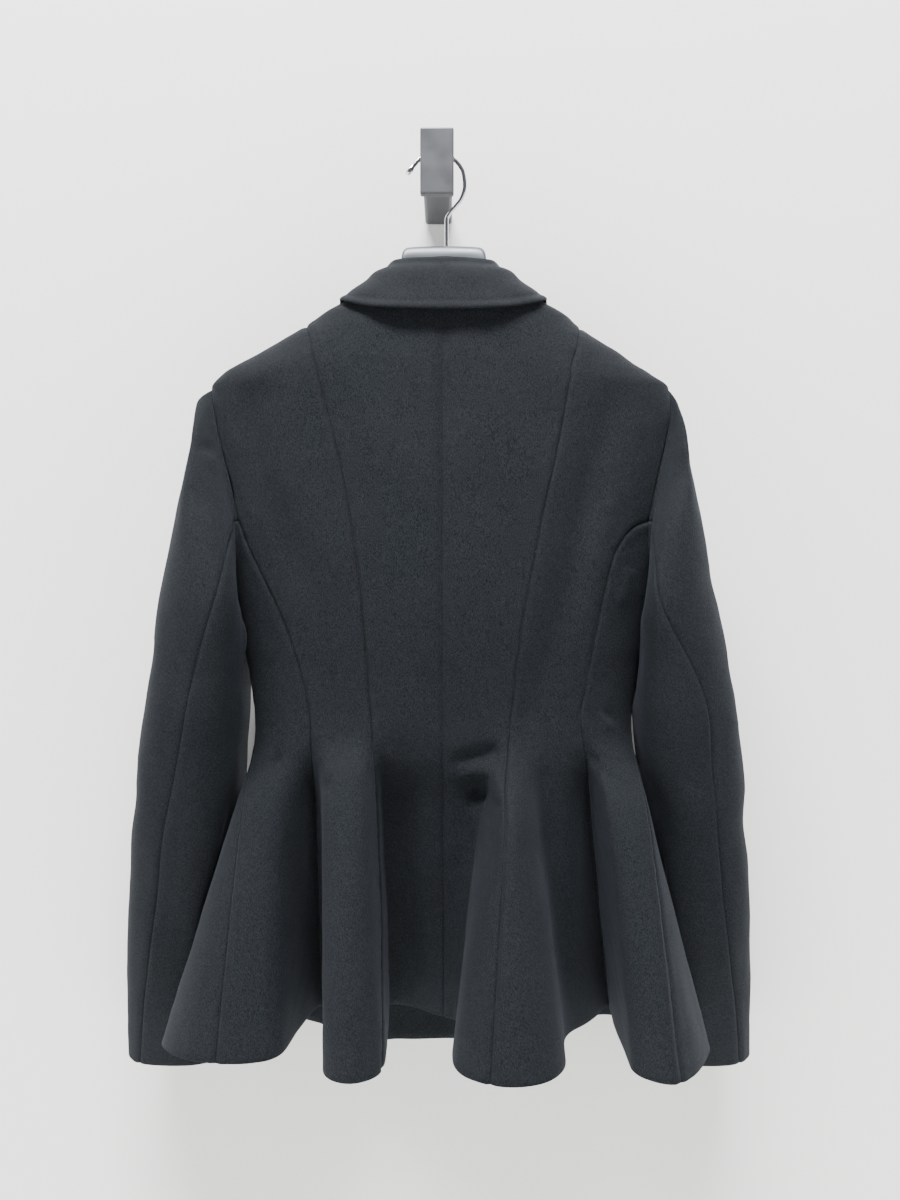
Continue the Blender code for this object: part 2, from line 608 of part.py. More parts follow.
def sleeve_grid(side):
    """Points and normals of one whole sleeve, and the column of its front seam."""
    low = list(np.linspace(ARMHOLE_BACK[-1], 180.0, SIDE_COLUMNS)) + [200.0, 222.0, 245.0]
    high = [245.0, 270.0, 300.0, 330.0] + [360.0 + s for s in ARMHOLE_BACK]
    under = [(s - low[0]) / (low[-1] - low[0]) for s in low]
    upper = [(s - high[0]) / (high[-1] - high[0]) for s in high]
    stations = low + high[1:-1]
    count = len(stations)
    seam = np.array([armhole(s % 360.0, side) for s in stations])
    edge = torso(seam[:, 0], seam[:, 1])
    facing = torso_normal(seam[:, 0], seam[:, 1])
    along = unit(np.roll(edge, -1, axis=0) - np.roll(edge, 1, axis=0))
    away = unit(np.cross(facing, along))
    centre = edge.mean(axis=0)
    away *= np.sign(np.sum(away * (centre - edge), axis=1, keepdims=True))
    rows = [np.zeros((count, 3)) for _ in range(4)]
    bends = [np.zeros((count, 3)) for _ in range(4)]
    starts = np.zeros((count, 3))
    for j, station in enumerate(stations):
        aim = sleeve_point(station % 360.0, 0.012, edge[j], side) - edge[j]
        aim -= np.dot(aim, along[j]) * along[j]
        turn = math.atan2(np.dot(aim, facing[j]), np.dot(aim, away[j])) % (2.0 * math.pi)
        turn = min(turn, math.pi)
        base = edge[j] + SEAM_GAP * away[j]
        for k in range(4):
            a = turn * k / 3.0
            rows[k][j] = base + SLEEVE_ROLL * ((1.0 - math.cos(a)) * facing[j] + math.sin(a) * away[j])
            bends[k][j] = math.cos(a) * facing[j] - math.sin(a) * away[j]
        starts[j] = rows[3][j]
    for share in SLEEVE_STEPS:
        ring = sleeve_stations(share, upper, under)
        rows.append(np.array([sleeve_point(ring[j] % 360.0, share, starts[j], side) for j in range(count)]))
    points = np.array(rows)
    around = np.roll(points, -1, axis=1) - np.roll(points, 1, axis=1)
    downward = np.gradient(points, axis=0)
    normals = unit(np.cross(around, downward))
    outward = points - points.mean(axis=1, keepdims=True)
    outward[..., 2] = 0.0
    if np.sum(normals[6:] * outward[6:]) < 0.0:
        normals = -normals
    for k in range(4):
        normals[k] = bends[k]
    normals[4] = unit(0.5 * normals[3] + 0.5 * normals[4])
    return points, normals, len(low) - 1


def add_sleeve(side, name_side, wool, parent):
    """Upper and under sleeve of one arm."""
    points, normals, front = sleeve_grid(side)
    cloth_wall("under_sleeve_" + name_side, points[:, :front + 1], normals[:, :front + 1], wool, parent)
    wrap = list(range(front, points.shape[1])) + [0]
    cloth_wall("upper_sleeve_" + name_side, points[:, wrap], normals[:, wrap], wool, parent)


# Collar and lapels

def add_lapel(side, name_side, wool, parent):
    """A lapel: turned over the edge of its front along the roll line and laid on the front."""
    lowest = -338.0 if side > 0 else -230.0
    rows = []
    bends = []
    for share in np.linspace(0.0, 1.0, LAPEL_ROWS):
        z = -30.0 + share * (lowest + 30.0)
        angle = roll_angle(z, side)
        face = front_face(angle, z, side)
        below = front_face(roll_angle(z - 2.0, side), z - 2.0, side)
        above = front_face(roll_angle(z + 2.0, side), z + 2.0, side)
        normal = torso_normal(angle, z)
        away = unit(np.cross(normal, above - below))
        inward = front_face(angle - side * 3.0, z, side) - face
        away *= -np.sign(np.dot(away, inward))
        row = []
        bend = []
        for turn in (0.0, 45.0, 90.0, 135.0, 180.0):
            a = math.radians(turn)
            radial = math.sin(a) * away - math.cos(a) * normal
            row.append(face + LAPEL_GAP * away + normal * (ROLL_RADIUS - 1.0) + ROLL_RADIUS * radial)
            bend.append(radial)
        edge_x = float(follow(LAPEL_EDGE, share, 1))
        edge_z = float(follow(LAPEL_EDGE, share, 2))
        if side > 0:
            edge_x -= 18.0 * max(0.0, share - 0.85) / 0.15
            edge_z -= 34.0 * max(0.0, share - 0.85) / 0.15
        else:
            edge_x += 6.0 * share
            edge_z = -60.0 + LEFT_LAPEL_SHARE * (edge_z + 60.0)
        start_x = roll_x(z)
        for part in LAPEL_COLUMNS:
            x = start_x + part * (edge_x - start_x)
            height = z + part * (edge_z - z)
            spot = side * (180.0 - math.copysign(180.0 - abs(angle_at(abs(x), height, True)), x))
            row.append(front_face(spot, height, side, 2.0 * ROLL_RADIUS - 1.0))
            bend.append(torso_normal(spot, height))
        rows.append(row)
        bends.append(bend)
    cloth_wall("lapel_" + name_side, np.array(rows), np.array(bends), wool, parent, 1.0, 1.0, 0.0)


def neck_edge(share):
    """Neck seam from the nape over the shoulder point to the top of the roll line."""
    if share <= 0.62:
        a = 90.0 * share / 0.62
        angle = a
        z = 14.0 * (a / 90.0) ** 1.3
    else:
        z = 14.0 - 42.0 * (share - 0.62) / 0.38
        angle = roll_angle(z, 1)
    return torso(angle, z), torso_normal(angle, z)


def collar_row(share):
    """Neck seam, its normal, fold point and leaf edge point at a share, for either side."""
    size = abs(share)
    flip = np.array([1.0 if share >= 0.0 else -1.0, 1.0, 1.0])
    seam, normal = neck_edge(size)
    fold = np.array([float(follow([(r[0], r[1][k]) for r in COLLAR], size)) for k in range(3)])
    edge = np.array([float(follow([(r[0], r[2][k]) for r in COLLAR], size)) for k in range(3)])
    return seam * flip, normal * flip, fold * flip, edge * flip


def clear_of_neck(points):
    """Points moved level outward until they stand clear of the shoulders and the collar stand."""
    half = follow(SECTIONS, points[..., 2], 1) + COLLAR_CLEARANCE - 1.2 * ease((points[..., 2] - 4.0) / 10.0)
    back = follow(SECTIONS, points[..., 2], 2)
    front = follow(SECTIONS, points[..., 2], 3)
    depth = 0.5 * (front - back) + COLLAR_CLEARANCE
    middle = 0.5 * (front + back)
    power = follow(SECTIONS, points[..., 2], 4)
    place = (np.abs(points[..., 0]) / half) ** power + (np.abs(points[..., 1] - middle) / depth) ** power
    scale = np.maximum(1.0, np.maximum(place, 1e-6) ** (-1.0 / power))
    moved = points.copy()
    moved[..., 0] *= scale
    moved[..., 1] = middle + (moved[..., 1] - middle) * scale
    return moved


def add_collar(wool, parent):
    """Collar stand on the neck seam, and the leaf that falls from its fold."""
    half = np.array(COLLAR_SHARES)
    shares = np.concatenate([-half[:0:-1], half])
    rows = [collar_row(s) for s in shares]
    seams = np.array([r[0] for r in rows])
    facing = np.array([r[1] for r in rows])
    folds = np.array([r[2] for r in rows])
    edges = np.array([r[3] for r in rows])
    along = unit(np.gradient(seams, axis=0))
    up = unit(np.cross(along, facing))
    up *= np.sign(np.sum(up * (folds - seams), axis=1, keepdims=True))
    radius = 2.4
    out = unit((edges - seams) * np.array([1.0, 1.0, 0.0]))
    foot = seams - facing + 0.7 * up
    centre = folds - np.array([0.0, 0.0, radius])
    head = centre - out * radius
    stand = np.array([foot, foot + 0.5 * up, 0.6 * foot + 0.4 * head, 0.25 * foot + 0.75 * head,
                      head - np.array([0.0, 0.0, 0.3])])
    stand_normals = unit(np.cross(np.gradient(stand, axis=1), np.gradient(stand, axis=0)))
    stand_normals *= np.sign(np.sum(stand_normals * out, axis=2, keepdims=True))
    stand_normals[0] = facing
    stand_normals[1] = facing
    stand_normals[-1] = out
    cloth_wall("collar_stand", stand.transpose(1, 0, 2), stand_normals.transpose(1, 0, 2), wool, parent,
               1.0, 1.0, 0.0)
    leaf = []
    leaf_normals = []
    for turn in (0.0, 60.0, 120.0, 180.0):
        a = math.radians(turn)
        radial = -math.cos(a) * out + np.array([0.0, 0.0, math.sin(a)])
        leaf.append(centre + radius * radial)
        leaf_normals.append(radial)
    side = centre + radius * out
    for part in (0.2, 0.45, 0.7, 0.88, 1.0):
        bow = 4.0 * part * (1.0 - part)
        leaf.append(side + part * (edges - side) + bow * (0.6 * out + np.array([0.0, 0.0, 1.2])))
        leaf_normals.append(None)
    points = np.array(leaf)
    points[4:] = clear_of_neck(points[4:])
    free = unit(np.cross(np.gradient(points, axis=1), np.gradient(points, axis=0)))
    free *= np.sign(np.sum(free * (out + np.array([0.0, 0.0, 0.6])), axis=2, keepdims=True))
    for k, given in enumerate(leaf_normals):
        if given is not None:
            free[k] = given
    cloth_wall("collar_leaf", points.transpose(1, 0, 2), free.transpose(1, 0, 2), wool, parent, 1.0, 1.0, 0.0)


# Hanger, hook and button

def add_hanger(plastic, parent):
    """Hanger body, lofted through sections along its arms."""
    rings = []
    for x, top, bottom, depth, middle in HANGER:
        for k in range(HANGER_RING):
            a = 2.0 * math.pi * k / HANGER_RING
            c = math.copysign(abs(math.cos(a)) ** 0.75, math.cos(a))
            s = math.copysign(abs(math.sin(a)) ** 0.75, math.sin(a))
            rings.append((x, middle + depth * c, 0.5 * (top + bottom) + 0.5 * (top - bottom) * s))
    faces = []
    for i in range(len(HANGER) - 1):
        for k in range(HANGER_RING):
            a = i * HANGER_RING + k
            b = i * HANGER_RING + (k + 1) % HANGER_RING
            faces.append((a, b, b + HANGER_RING, a + HANGER_RING))
    broad = len(faces)
    last = (len(HANGER) - 1) * HANGER_RING
    faces.append(tuple(range(HANGER_RING - 1, -1, -1)))
    faces.append(tuple(range(last, last + HANGER_RING)))
    solid("hanger_body", rings, faces, plastic, parent, broad)


def add_wire(chrome, parent):
    """Chrome hook bent from wire, with a small ball at its tip."""
    curve = bpy.data.curves.new("hanger_hook", "CURVE")
    curve.dimensions = "3D"
    curve.bevel_depth = MM * WIRE_RADIUS
    curve.bevel_resolution = 2
    curve.use_fill_caps = True
    order = [(float(k), row[0], row[1], row[2]) for k, row in enumerate(WIRE)]
    steps = np.linspace(0.0, len(WIRE) - 1.0, 2 * len(WIRE) - 1)
    spline = curve.splines.new("POLY")
    spline.points.add(len(steps) - 1)
    for point, at in zip(spline.points, steps):
        point.co = (MM * float(follow(order, at, 1)), 0.0, MM * float(follow(order, at, 2)), 1.0)
        point.radius = float(follow(order, at, 3))
    link(bpy.data.objects.new("hanger_hook", curve), chrome, parent)


def add_block(name, size, centre, bevel, material):
    """A block with rounded edges, in the frame of the wall."""
    bpy.ops.mesh.primitive_cube_add(size=1.0)
    block = bpy.context.active_object
    block.name = name
    block.data.name = name
    for owner in list(block.users_collection):
        owner.objects.unlink(block)
    for vertex in block.data.vertices:
        for k in range(3):
            vertex.co[k] *= MM * size[k]
    rounding = block.modifiers.new("rounding", "BEVEL")
    rounding.width = MM * bevel
    rounding.segments = 3
    link(block, material, None, centre)


def add_button(material, parent):
    """Button on the right front, turned from its profile."""
    mesh = bpy.data.meshes.new("button")
    points = [(MM * r, 0.0, MM * h) for r, h in BUTTON_PROFILE]
    mesh.from_pydata(points, [(k, k + 1) for k in range(len(points) - 1)], [])
    button = link(bpy.data.objects.new("button", mesh), material, parent)
    turned = button.modifiers.new("turned", "SCREW")
    turned.axis = "Z"
    turned.angle = 2.0 * math.pi
    turned.steps = 24
    turned.render_steps = 24
    turned.use_merge_vertices = True
    turned.merge_threshold = 0.00001
    facing = torso_normal(180.0, BUTTON_Z)
    seat = torso(180.0, BUTTON_Z) + 0.5 * facing
    button.location = [MM * float(c) for c in seat]
    button.rotation_euler = (-math.pi / 2.0 + math.asin(float(facing[2])), 0.0, 0.0)


def add_material(name, colour, roughness, metallic):
    """A plain material."""
    material = bpy.data.materials.new(name)
    material.use_nodes = True
    shader = material.node_tree.nodes["Principled BSDF"]
    shader.inputs["Base Color"].default_value = (*colour, 1.0)
    shader.inputs["Roughness"].default_value = roughness
    shader.inputs["Metallic"].default_value = metallic
    material.diffuse_color = (*colour, 1.0)
    return material


def main():
    """Build the whole object."""
    for obj in list(bpy.data.objects):
        bpy.data.objects.remove(obj)
    collection = bpy.data.collections.new("blazer")
    bpy.context.scene.collection.children.link(collection)
    materials = {name: add_material(name, *values) for name, values in MATERIALS.items()}
    garment = bpy.data.objects.new("garment", None)
    collection.objects.link(garment)
    garment.location = [MM * s for s in NAPE_FROM_HOOK]
    for side, name_side in ((1, "right"), (-1, "left")):
        add_panels(side, name_side, materials["wool"], garment)
        add_sleeve(side, name_side, materials["wool"], garment)
        add_lapel(side, name_side, materials["wool"], garment)
    add_collar(materials["wool"], garment)
    add_button(materials["button"], garment)
    add_hanger(materials["hanger"], garment)
    add_wire(materials["chrome"], garment)
    add_block("wall_hook_arm", ARM_SIZE, (0.0, -0.5 * ARM_SIZE[1], 0.0), 3.0, materials["anthracite"])
    add_block("wall_hook_plate", PLATE_SIZE, PLATE_CENTRE, 1.5, materials["anthracite"])


main()
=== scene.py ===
"""Blazer with a fluted peplum on a hanger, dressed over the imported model.

Garment sizes are in millimetres from the nape: x to the wearer's right, y toward
the wall, z up. Cloth pieces are thin shells on one shared surface.
"""
import logging
import math
from dataclasses import dataclass
from enum import Enum

import bmesh
import bpy
import numpy as np
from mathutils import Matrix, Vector


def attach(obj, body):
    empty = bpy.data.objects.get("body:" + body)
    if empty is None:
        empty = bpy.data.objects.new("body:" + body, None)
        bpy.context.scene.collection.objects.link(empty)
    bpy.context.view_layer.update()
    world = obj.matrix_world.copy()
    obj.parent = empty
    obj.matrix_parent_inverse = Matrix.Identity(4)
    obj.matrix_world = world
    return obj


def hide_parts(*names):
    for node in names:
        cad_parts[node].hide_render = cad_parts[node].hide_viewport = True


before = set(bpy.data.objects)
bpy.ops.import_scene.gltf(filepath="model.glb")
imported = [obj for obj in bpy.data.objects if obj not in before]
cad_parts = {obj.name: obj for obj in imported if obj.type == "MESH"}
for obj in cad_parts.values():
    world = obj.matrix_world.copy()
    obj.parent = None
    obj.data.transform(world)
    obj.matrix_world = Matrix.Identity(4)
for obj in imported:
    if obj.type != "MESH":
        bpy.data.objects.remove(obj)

LOG = logging.getLogger("blazer")
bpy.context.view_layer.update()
Array = np.ndarray
Table = tuple

# Driving sizes
MM = 0.001
SEAM_GAP = 0.15
NAPE_FROM_HOOK = (5.6, -110.0, -121.8)
SHOULDER_TIP_Z = -82.0
UNDERARM_Z = -270.0
WAIST_Z = -385.0
HEM_Z = -666.0
CUFF_Z = -717.0
FRONT_OVERLAP_ANGLE = 4.3
FRONT_TUCK = 2.7
ROLL_RADIUS = 1.6
SLEEVE_ROLL = 1.6
SLEEVE_CLEARANCE = 3.6
COLLAR_CLEARANCE = 5.4
ROLL_TOP_Z = 14.0
ROLL_DROP = 366.0
NECK_SHARE = 0.62
LAPEL_TOP_Z = -30.0
LAPEL_END_Z = {1: -338.0, -1: -230.0}
ARMHOLE_DEPTH = 26.0
ARMHOLE_LEAN = 12.5
SLEEVE_FADE = 70.0
UNDERARM_FADE = 30.0
HEM_TURNED = 26.0
CUFF_TURNED = 34.0
FLUTE_CENTRE = 16.8
FLUTE_PINCH_SPREAD = 11.0
FLUTE_SHIFT_PLACE = -16.5
FLUTE_SHIFT_SPREAD = 4.5
FLUTE_PINCH = ((0.0, 0.8), (0.2, 0.78), (0.375, 0.75), (0.45, 0.52), (0.53, 0.27), (0.75, 0.12), (1.0, 0.0))
FLUTE_SHIFT = ((0.0, 3.0), (0.3, 3.3), (0.5, 3.1), (0.75, 1.6), (1.0, 0.0))

# Level sections of the body: height, half width, back y, front y, squareness
SECTIONS = (
    (-385.0, 175.0, -26.0, 48.0, 2.4),
    (-341.0, 182.0, -31.0, 53.0, 2.4),
    (-320.0, 186.0, -34.0, 56.0, 2.5),
    (-270.0, 197.0, -39.0, 60.0, 2.5),
    (-235.0, 203.0, -40.0, 60.0, 2.5),
    (-170.0, 210.0, -40.0, 56.0, 2.5),
    (-120.0, 213.0, -39.0, 51.0, 2.5),
    (-82.0, 214.0, -38.0, 48.0, 2.5),
    (-70.0, 204.0, -37.4, 46.5, 2.5),
    (-63.0, 193.0, -37.0, 45.5, 2.5),
    (-51.0, 171.0, -36.0, 44.0, 2.5),
    (-33.0, 138.0, -34.6, 39.5, 2.5),
    (-26.0, 126.0, -34.0, 38.0, 2.5),
    (-14.0, 109.0, -32.6, 34.0, 2.5),
    (-6.0, 94.0, -31.8, 32.0, 2.5),
    (0.0, 85.0, -31.0, 30.0, 2.5),
    (14.0, 66.0, -26.0, 20.0, 2.5),
    (34.0, 44.0, -18.0, 8.0, 2.5),
)
# The right shoulder sits a little lower: height, change of half width
RIGHT_SHOULDER = ((-160.0, 0.0), (-120.0, -1.0), (-100.0, -3.0), (-82.0, -6.0), (-70.0, -12.0),
                  (-63.0, -13.0), (-51.0, -8.0), (-33.0, -5.0), (-20.0, 0.0))

# How far each level below the waist has moved toward the hem plan in depth
KICK = ((0.0, 0.0), (0.05, 0.002), (0.09, 0.02), (0.13, 0.09), (0.18, 0.225), (0.25, 0.395), (0.35, 0.54),
        (0.6, 0.75), (1.0, 1.0))

# The hem seen from above: angle round the waist, x, y
HEM_PLAN = (
    (-180.0, 0.0, 72.0),
    (-169.0, -50.0, 64.0),
    (-157.0, -90.0, 48.0),
    (-148.0, -116.0, 82.0),
    (-141.0, -148.0, 90.0),
    (-130.0, -174.0, 66.0),
    (-124.0, -190.0, 22.0),
    (-119.0, -214.0, 2.0),
    (-114.0, -243.0, -8.0),
    (-110.0, -250.0, -32.0),
    (-105.0, -236.0, -58.0),
    (-98.0, -212.0, -74.0),
    (-85.0, -180.0, -80.0),
    (-65.0, -152.0, -76.0),
    (-55.0, -137.0, -62.0),
    (-49.0, -133.0, -36.0),
    (-44.0, -128.0, -6.0),
    (-39.5, -117.0, 30.0),
    (-36.5, -100.0, -10.0),
    (-34.0, -100.0, -80.0),
    (-30.0, -92.0, -104.0),
    (-25.5, -75.0, -111.0),
    (-20.0, -58.0, -104.0),
    (-16.5, -48.0, -84.0),
    (-14.3, -50.0, 0.0),
    (-12.0, -54.0, 33.0),
    (-9.0, -35.0, 30.0),
    (-5.0, -14.0, 15.0),
    (0.0, 0.0, 6.0),
    (5.0, 9.0, 1.0),
    (10.0, 13.0, -10.0),
    (12.5, 5.0, -86.0),
    (14.2, 24.0, -106.0),
    (17.5, 58.0, -117.0),
    (20.0, 88.0, -108.0),
    (22.0, 102.0, -86.0),
    (28.0, 107.0, -39.0),
    (36.0, 134.0, -4.0),
    (42.5, 159.0, 31.0),
    (45.0, 156.0, -20.0),
    (49.0, 156.0, -84.0),
    (60.0, 166.0, -104.0),
    (85.0, 186.0, -112.0),
    (98.0, 206.0, -98.0),
    (105.0, 222.0, -72.0),
    (110.0, 235.0, -38.0),
    (114.0, 229.0, -8.0),
    (119.0, 208.0, 4.0),
    (124.0, 190.0, 24.0),
    (130.0, 176.0, 68.0),
    (141.0, 150.0, 92.0),
    (148.0, 118.0, 84.0),
    (157.0, 92.0, 50.0),
    (169.0, 50.0, 66.0),
    (180.0, 0.0, 72.0),
)

# Hem height by angle from the back
HEM_HEIGHTS = ((0.0, -666.0), (100.0, -666.0), (115.0, -674.0), (132.0, -696.0), (150.0, -711.0),
               (180.0, -716.0))

# Seams above the waist: height, distance from the centre line
BACK_PRINCESS = {
    1: ((-385.0, 61.0), (-338.0, 66.0), (-296.0, 71.0), (-249.0, 80.0), (-200.0, 89.0),
        (-142.0, 102.0), (-93.0, 111.0), (-44.0, 121.0), (-26.0, 126.0)),
    -1: ((-385.0, 64.5), (-338.0, 68.0), (-290.0, 71.0), (-218.0, 80.0), (-153.0, 92.0),
         (-93.0, 108.0), (-40.0, 121.0), (-26.0, 126.0)),
}
SIDE_BACK = {
    1: ((-385.0, 123.0), (-355.0, 129.0), (-320.0, 135.0), (-290.0, 140.5), (-266.0, 145.5), (-246.0, 150.5),
        (-236.0, 154.0), (-226.0, 159.5), (-217.0, 167.0), (-210.5, 176.0), (-206.6, 185.0)),
    -1: ((-385.0, 120.0), (-364.0, 123.5), (-334.0, 131.0), (-304.0, 141.0), (-275.0, 153.5), (-249.0, 167.0),
         (-232.0, 175.5), (-219.0, 181.0), (-206.6, 185.0)),
}
FRONT_PRINCESS = ((-385.0, 75.0), (-348.0, 78.0), (-300.0, 84.0), (-240.0, 90.0), (-190.0, 97.0),
                  (-142.0, 104.0), (-93.0, 112.0), (-44.0, 121.0), (-26.0, 126.0))

# Angles that the seams keep below the waist
LOWER_ANGLES = {
    1: {"back_princess": 15.6, "side_back": 42.5, "front_princess": 147.0},
    -1: {"back_princess": 17.2, "side_back": 39.5, "front_princess": 147.0},
}

# Heights at which each edge is divided, top first, and the levels from waist to hem
BACK_LEVELS = (0.0, -4.0, -9.0, -16.0, -26.0, -42.0, -64.0, -92.0, -126.0, -164.0, -204.0, -244.0, -284.0,
               -322.0, -356.0)
PRINCESS_LEVELS = (-26.0, -28.0, -31.0, -36.0, -44.0, -58.0, -80.0, -106.0, -136.0, -168.0, -202.0, -238.0,
                   -276.0, -314.0, -352.0)
FRONT_LEVELS = (-26.0, -32.0, -45.0, -75.0, -120.0, -175.0, -225.0, -258.0, -288.0, -314.0, -340.0, -364.0)
SIDE_BACK_LEVELS = (-211.0, -218.0, -227.0, -240.0, -258.0, -282.0, -312.0, -348.0)
SIDE_LEVELS = (-276.0, -284.0, -293.0, -304.0, -317.0, -332.0, -349.0, -366.0)
SIDE_FRONT_LEVELS = (-292.0, -315.0, -338.0, -362.0)
ROLL_LEVELS = (14.0, 5.0, -12.0, -28.0, -60.0, -105.0, -150.0, -194.0, -238.0, -278.0, -316.0, -352.0)
PEPLUM_STEPS = (0.0, 0.05, 0.11, 0.2, 0.31, 0.44, 0.58, 0.72, 0.86, 1.0)

# Stations round the armhole: 0 at the shoulder tip, 90 at the back, 180 at the underarm
ARMHOLE_BACK = (0.0, 18.0, 36.0, 54.0, 72.0, 90.0, 109.0)
ARMHOLE_FRONT = (360.0, 330.0, 300.0, 270.0, 245.0, 222.0, 200.0, 180.0)
SIDE_COLUMNS = 9

# Sleeve tube: height, outer reach, inner reach
SLEEVE_WIDTHS = {
    1: ((-717.0, 299.0, 207.0), (-640.0, 296.0, 202.0), (-580.0, 292.0, 198.0), (-530.0, 287.5, 195.0),
        (-480.0, 282.5, 192.0), (-430.0, 277.0, 184.0), (-378.0, 269.5, 178.0), (-330.0, 258.5, 180.0),
        (-278.0, 247.0, 184.0), (-240.0, 239.3, 184.0), (-205.0, 232.4, 184.0), (-176.0, 227.3, 184.0),
        (-145.0, 222.4, 184.0), (-120.0, 220.0, 184.0), (-100.0, 217.0, 188.0), (-84.0, 213.0, 192.0)),
    -1: ((-717.0, 308.0, 207.0), (-640.0, 305.0, 203.0), (-580.0, 301.0, 199.0), (-530.0, 296.0, 195.0),
         (-480.0, 290.0, 191.0), (-430.0, 283.0, 188.0), (-378.0, 273.5, 183.0), (-330.0, 264.5, 182.0),
         (-278.0, 256.0, 185.0), (-240.0, 249.0, 185.0), (-205.0, 241.3, 185.0), (-176.0, 235.6, 185.0),
         (-145.0, 230.0, 185.0), (-120.0, 227.5, 186.0), (-100.0, 228.0, 188.0), (-84.0, 227.0, 192.0)),
}
# Sleeve tube: height, half depth, middle y
SLEEVE_DEPTHS = ((-717.0, 45.0, 60.0), (-500.0, 55.0, 28.0), (-385.0, 62.0, 10.0), (-330.0, 66.0, 5.0),
                 (-278.0, 70.0, 0.0), (-230.0, 68.0, 1.0), (-170.0, 60.0, 2.0), (-120.0, 45.0, 3.0),
                 (-82.0, 25.0, 4.0))
# Lean of the sleeve's near edge over the body, by height
SLEEVE_LEAN = {
    1: ((-490.0, 0.0), (-430.0, 5.0), (-385.0, 10.0), (-330.0, 15.0), (-278.0, 23.0), (-230.0, 19.0),
        (-170.0, 8.0), (-120.0, 0.0)),
    -1: ((-400.0, 0.0), (-370.0, 5.0), (-330.0, 13.0), (-278.0, 23.0), (-230.0, 19.0), (-170.0, 8.0),
         (-120.0, 0.0)),
}
SLEEVE_STEPS = (0.009, 0.03, 0.07, 0.14, 0.22, 0.31, 0.41, 0.51, 0.61, 0.71, 0.81, 0.91, 1.0)
SLEEVE_HEAD_REACH = {1: 26.0, -1: 13.0}
# Sleeve seams: share of the sleeve length, station round the sleeve
HINDARM = {
    1: ((0.0, 109.0), (0.08, 108.0), (0.16, 98.0), (0.23, 86.0), (0.29, 78.0), (0.36, 74.0), (0.46, 82.0),
        (0.55, 83.0), (0.64, 80.0), (0.75, 76.0), (0.86, 67.0), (1.0, 58.0)),
    -1: ((0.0, 109.0), (0.06, 104.0), (0.12, 96.0), (0.18, 91.0), (0.27, 89.0), (0.34, 91.0), (0.41, 91.0),
         (0.5, 86.0), (0.6, 81.0), (0.73, 76.0), (0.86, 67.0), (1.0, 58.0)),
}
FOREARM = ((0.0, 245.0), (0.2, 247.0), (0.5, 252.0), (1.0, 262.0))

# Lapel edge: share of the roll line, x, z
LAPEL_EDGE = ((0.0, 112.0, -60.0), (0.1, 109.0, -86.0), (0.25, 97.0, -124.0), (0.45, 77.0, -176.0),
              (0.65, 52.0, -228.0), (0.85, 24.0, -272.0), (1.0, 6.0, -300.0))
LAPEL_COLUMNS = (0.1, 0.3, 0.55, 0.8, 1.0)
LAPEL_ROWS = 13
LEFT_LAPEL_SHARE = 0.72
LAPEL_GAP = 0.7

# Collar, from the nape round to the front: share, fold point, leaf edge point
COLLAR = (
    (0.0, (0.0, -22.0, 30.5), (0.0, -43.0, -21.6)),
    (0.25, (22.0, -20.0, 30.5), (37.0, -42.5, -21.0)),
    (0.45, (42.0, -14.0, 30.5), (70.0, -34.0, -16.0)),
    (0.62, (50.0, -2.0, 29.0), (91.5, -6.0, -3.0)),
    (0.78, (56.0, 14.0, 21.0), (99.0, 20.0, -8.0)),
    (0.9, (54.5, 28.0, 5.0), (103.0, 39.0, -28.0)),
    (1.0, (50.5, 39.5, -16.0), (93.0, 48.0, -45.0)),
)

COLLAR_SHARES = (0.0, 0.1033, 0.2067, 0.31, 0.4133, 0.465, 0.5167, 0.568, 0.62, 0.7014, 0.78, 0.855, 0.93,
                 1.0)

# Hanger: x, top z, bottom z, half depth, middle y
HANGER = (
    (-187.0, -67.0, -80.0, 8.0, 4.0),
    (-184.0, -63.5, -84.0, 13.0, 4.0),
    (-176.0, -59.0, -85.0, 15.0, 4.0),
    (-150.0, -44.3, -72.0, 14.0, 3.5),
    (-130.0, -33.2, -60.0, 13.5, 2.5),
    (-110.0, -19.7, -48.0, 12.0, 2.0),
    (-78.0, -0.9, -25.0, 11.0, 0.0),
    (-57.0, 9.0, -12.0, 9.0, 0.0),
    (-44.0, 18.0, -3.0, 9.0, 0.0),
    (-39.5, 32.0, 0.0, 9.0, 0.0),
    (-37.5, 43.0, 2.0, 9.0, 0.0),
    (-33.0, 47.2, 3.0, 9.0, 0.0),
    (-18.0, 48.2, 4.0, 9.0, 0.0),
    (2.0, 48.5, 4.0, 9.0, 0.0),
    (22.0, 48.2, 4.0, 9.0, 0.0),
    (34.0, 47.2, 3.0, 9.0, 0.0),
    (38.5, 43.0, 2.0, 9.0, 0.0),
    (40.5, 32.0, 0.0, 9.0, 0.0),
    (45.0, 18.0, -3.0, 9.0, 0.0),
    (58.0, 9.0, -12.0, 9.0, 0.0),
    (78.0, -0.9, -25.0, 11.0, 0.0),
    (110.0, -20.3, -48.0, 12.0, 2.0),
    (130.0, -35.5, -61.0, 13.0, 2.5),
    (150.0, -48.1, -75.0, 13.5, 3.5),
    (174.0, -65.0, -90.0, 15.0, 4.0),
    (182.0, -69.5, -88.0, 13.0, 4.0),
    (185.0, -73.0, -84.0, 8.0, 4.0),
)
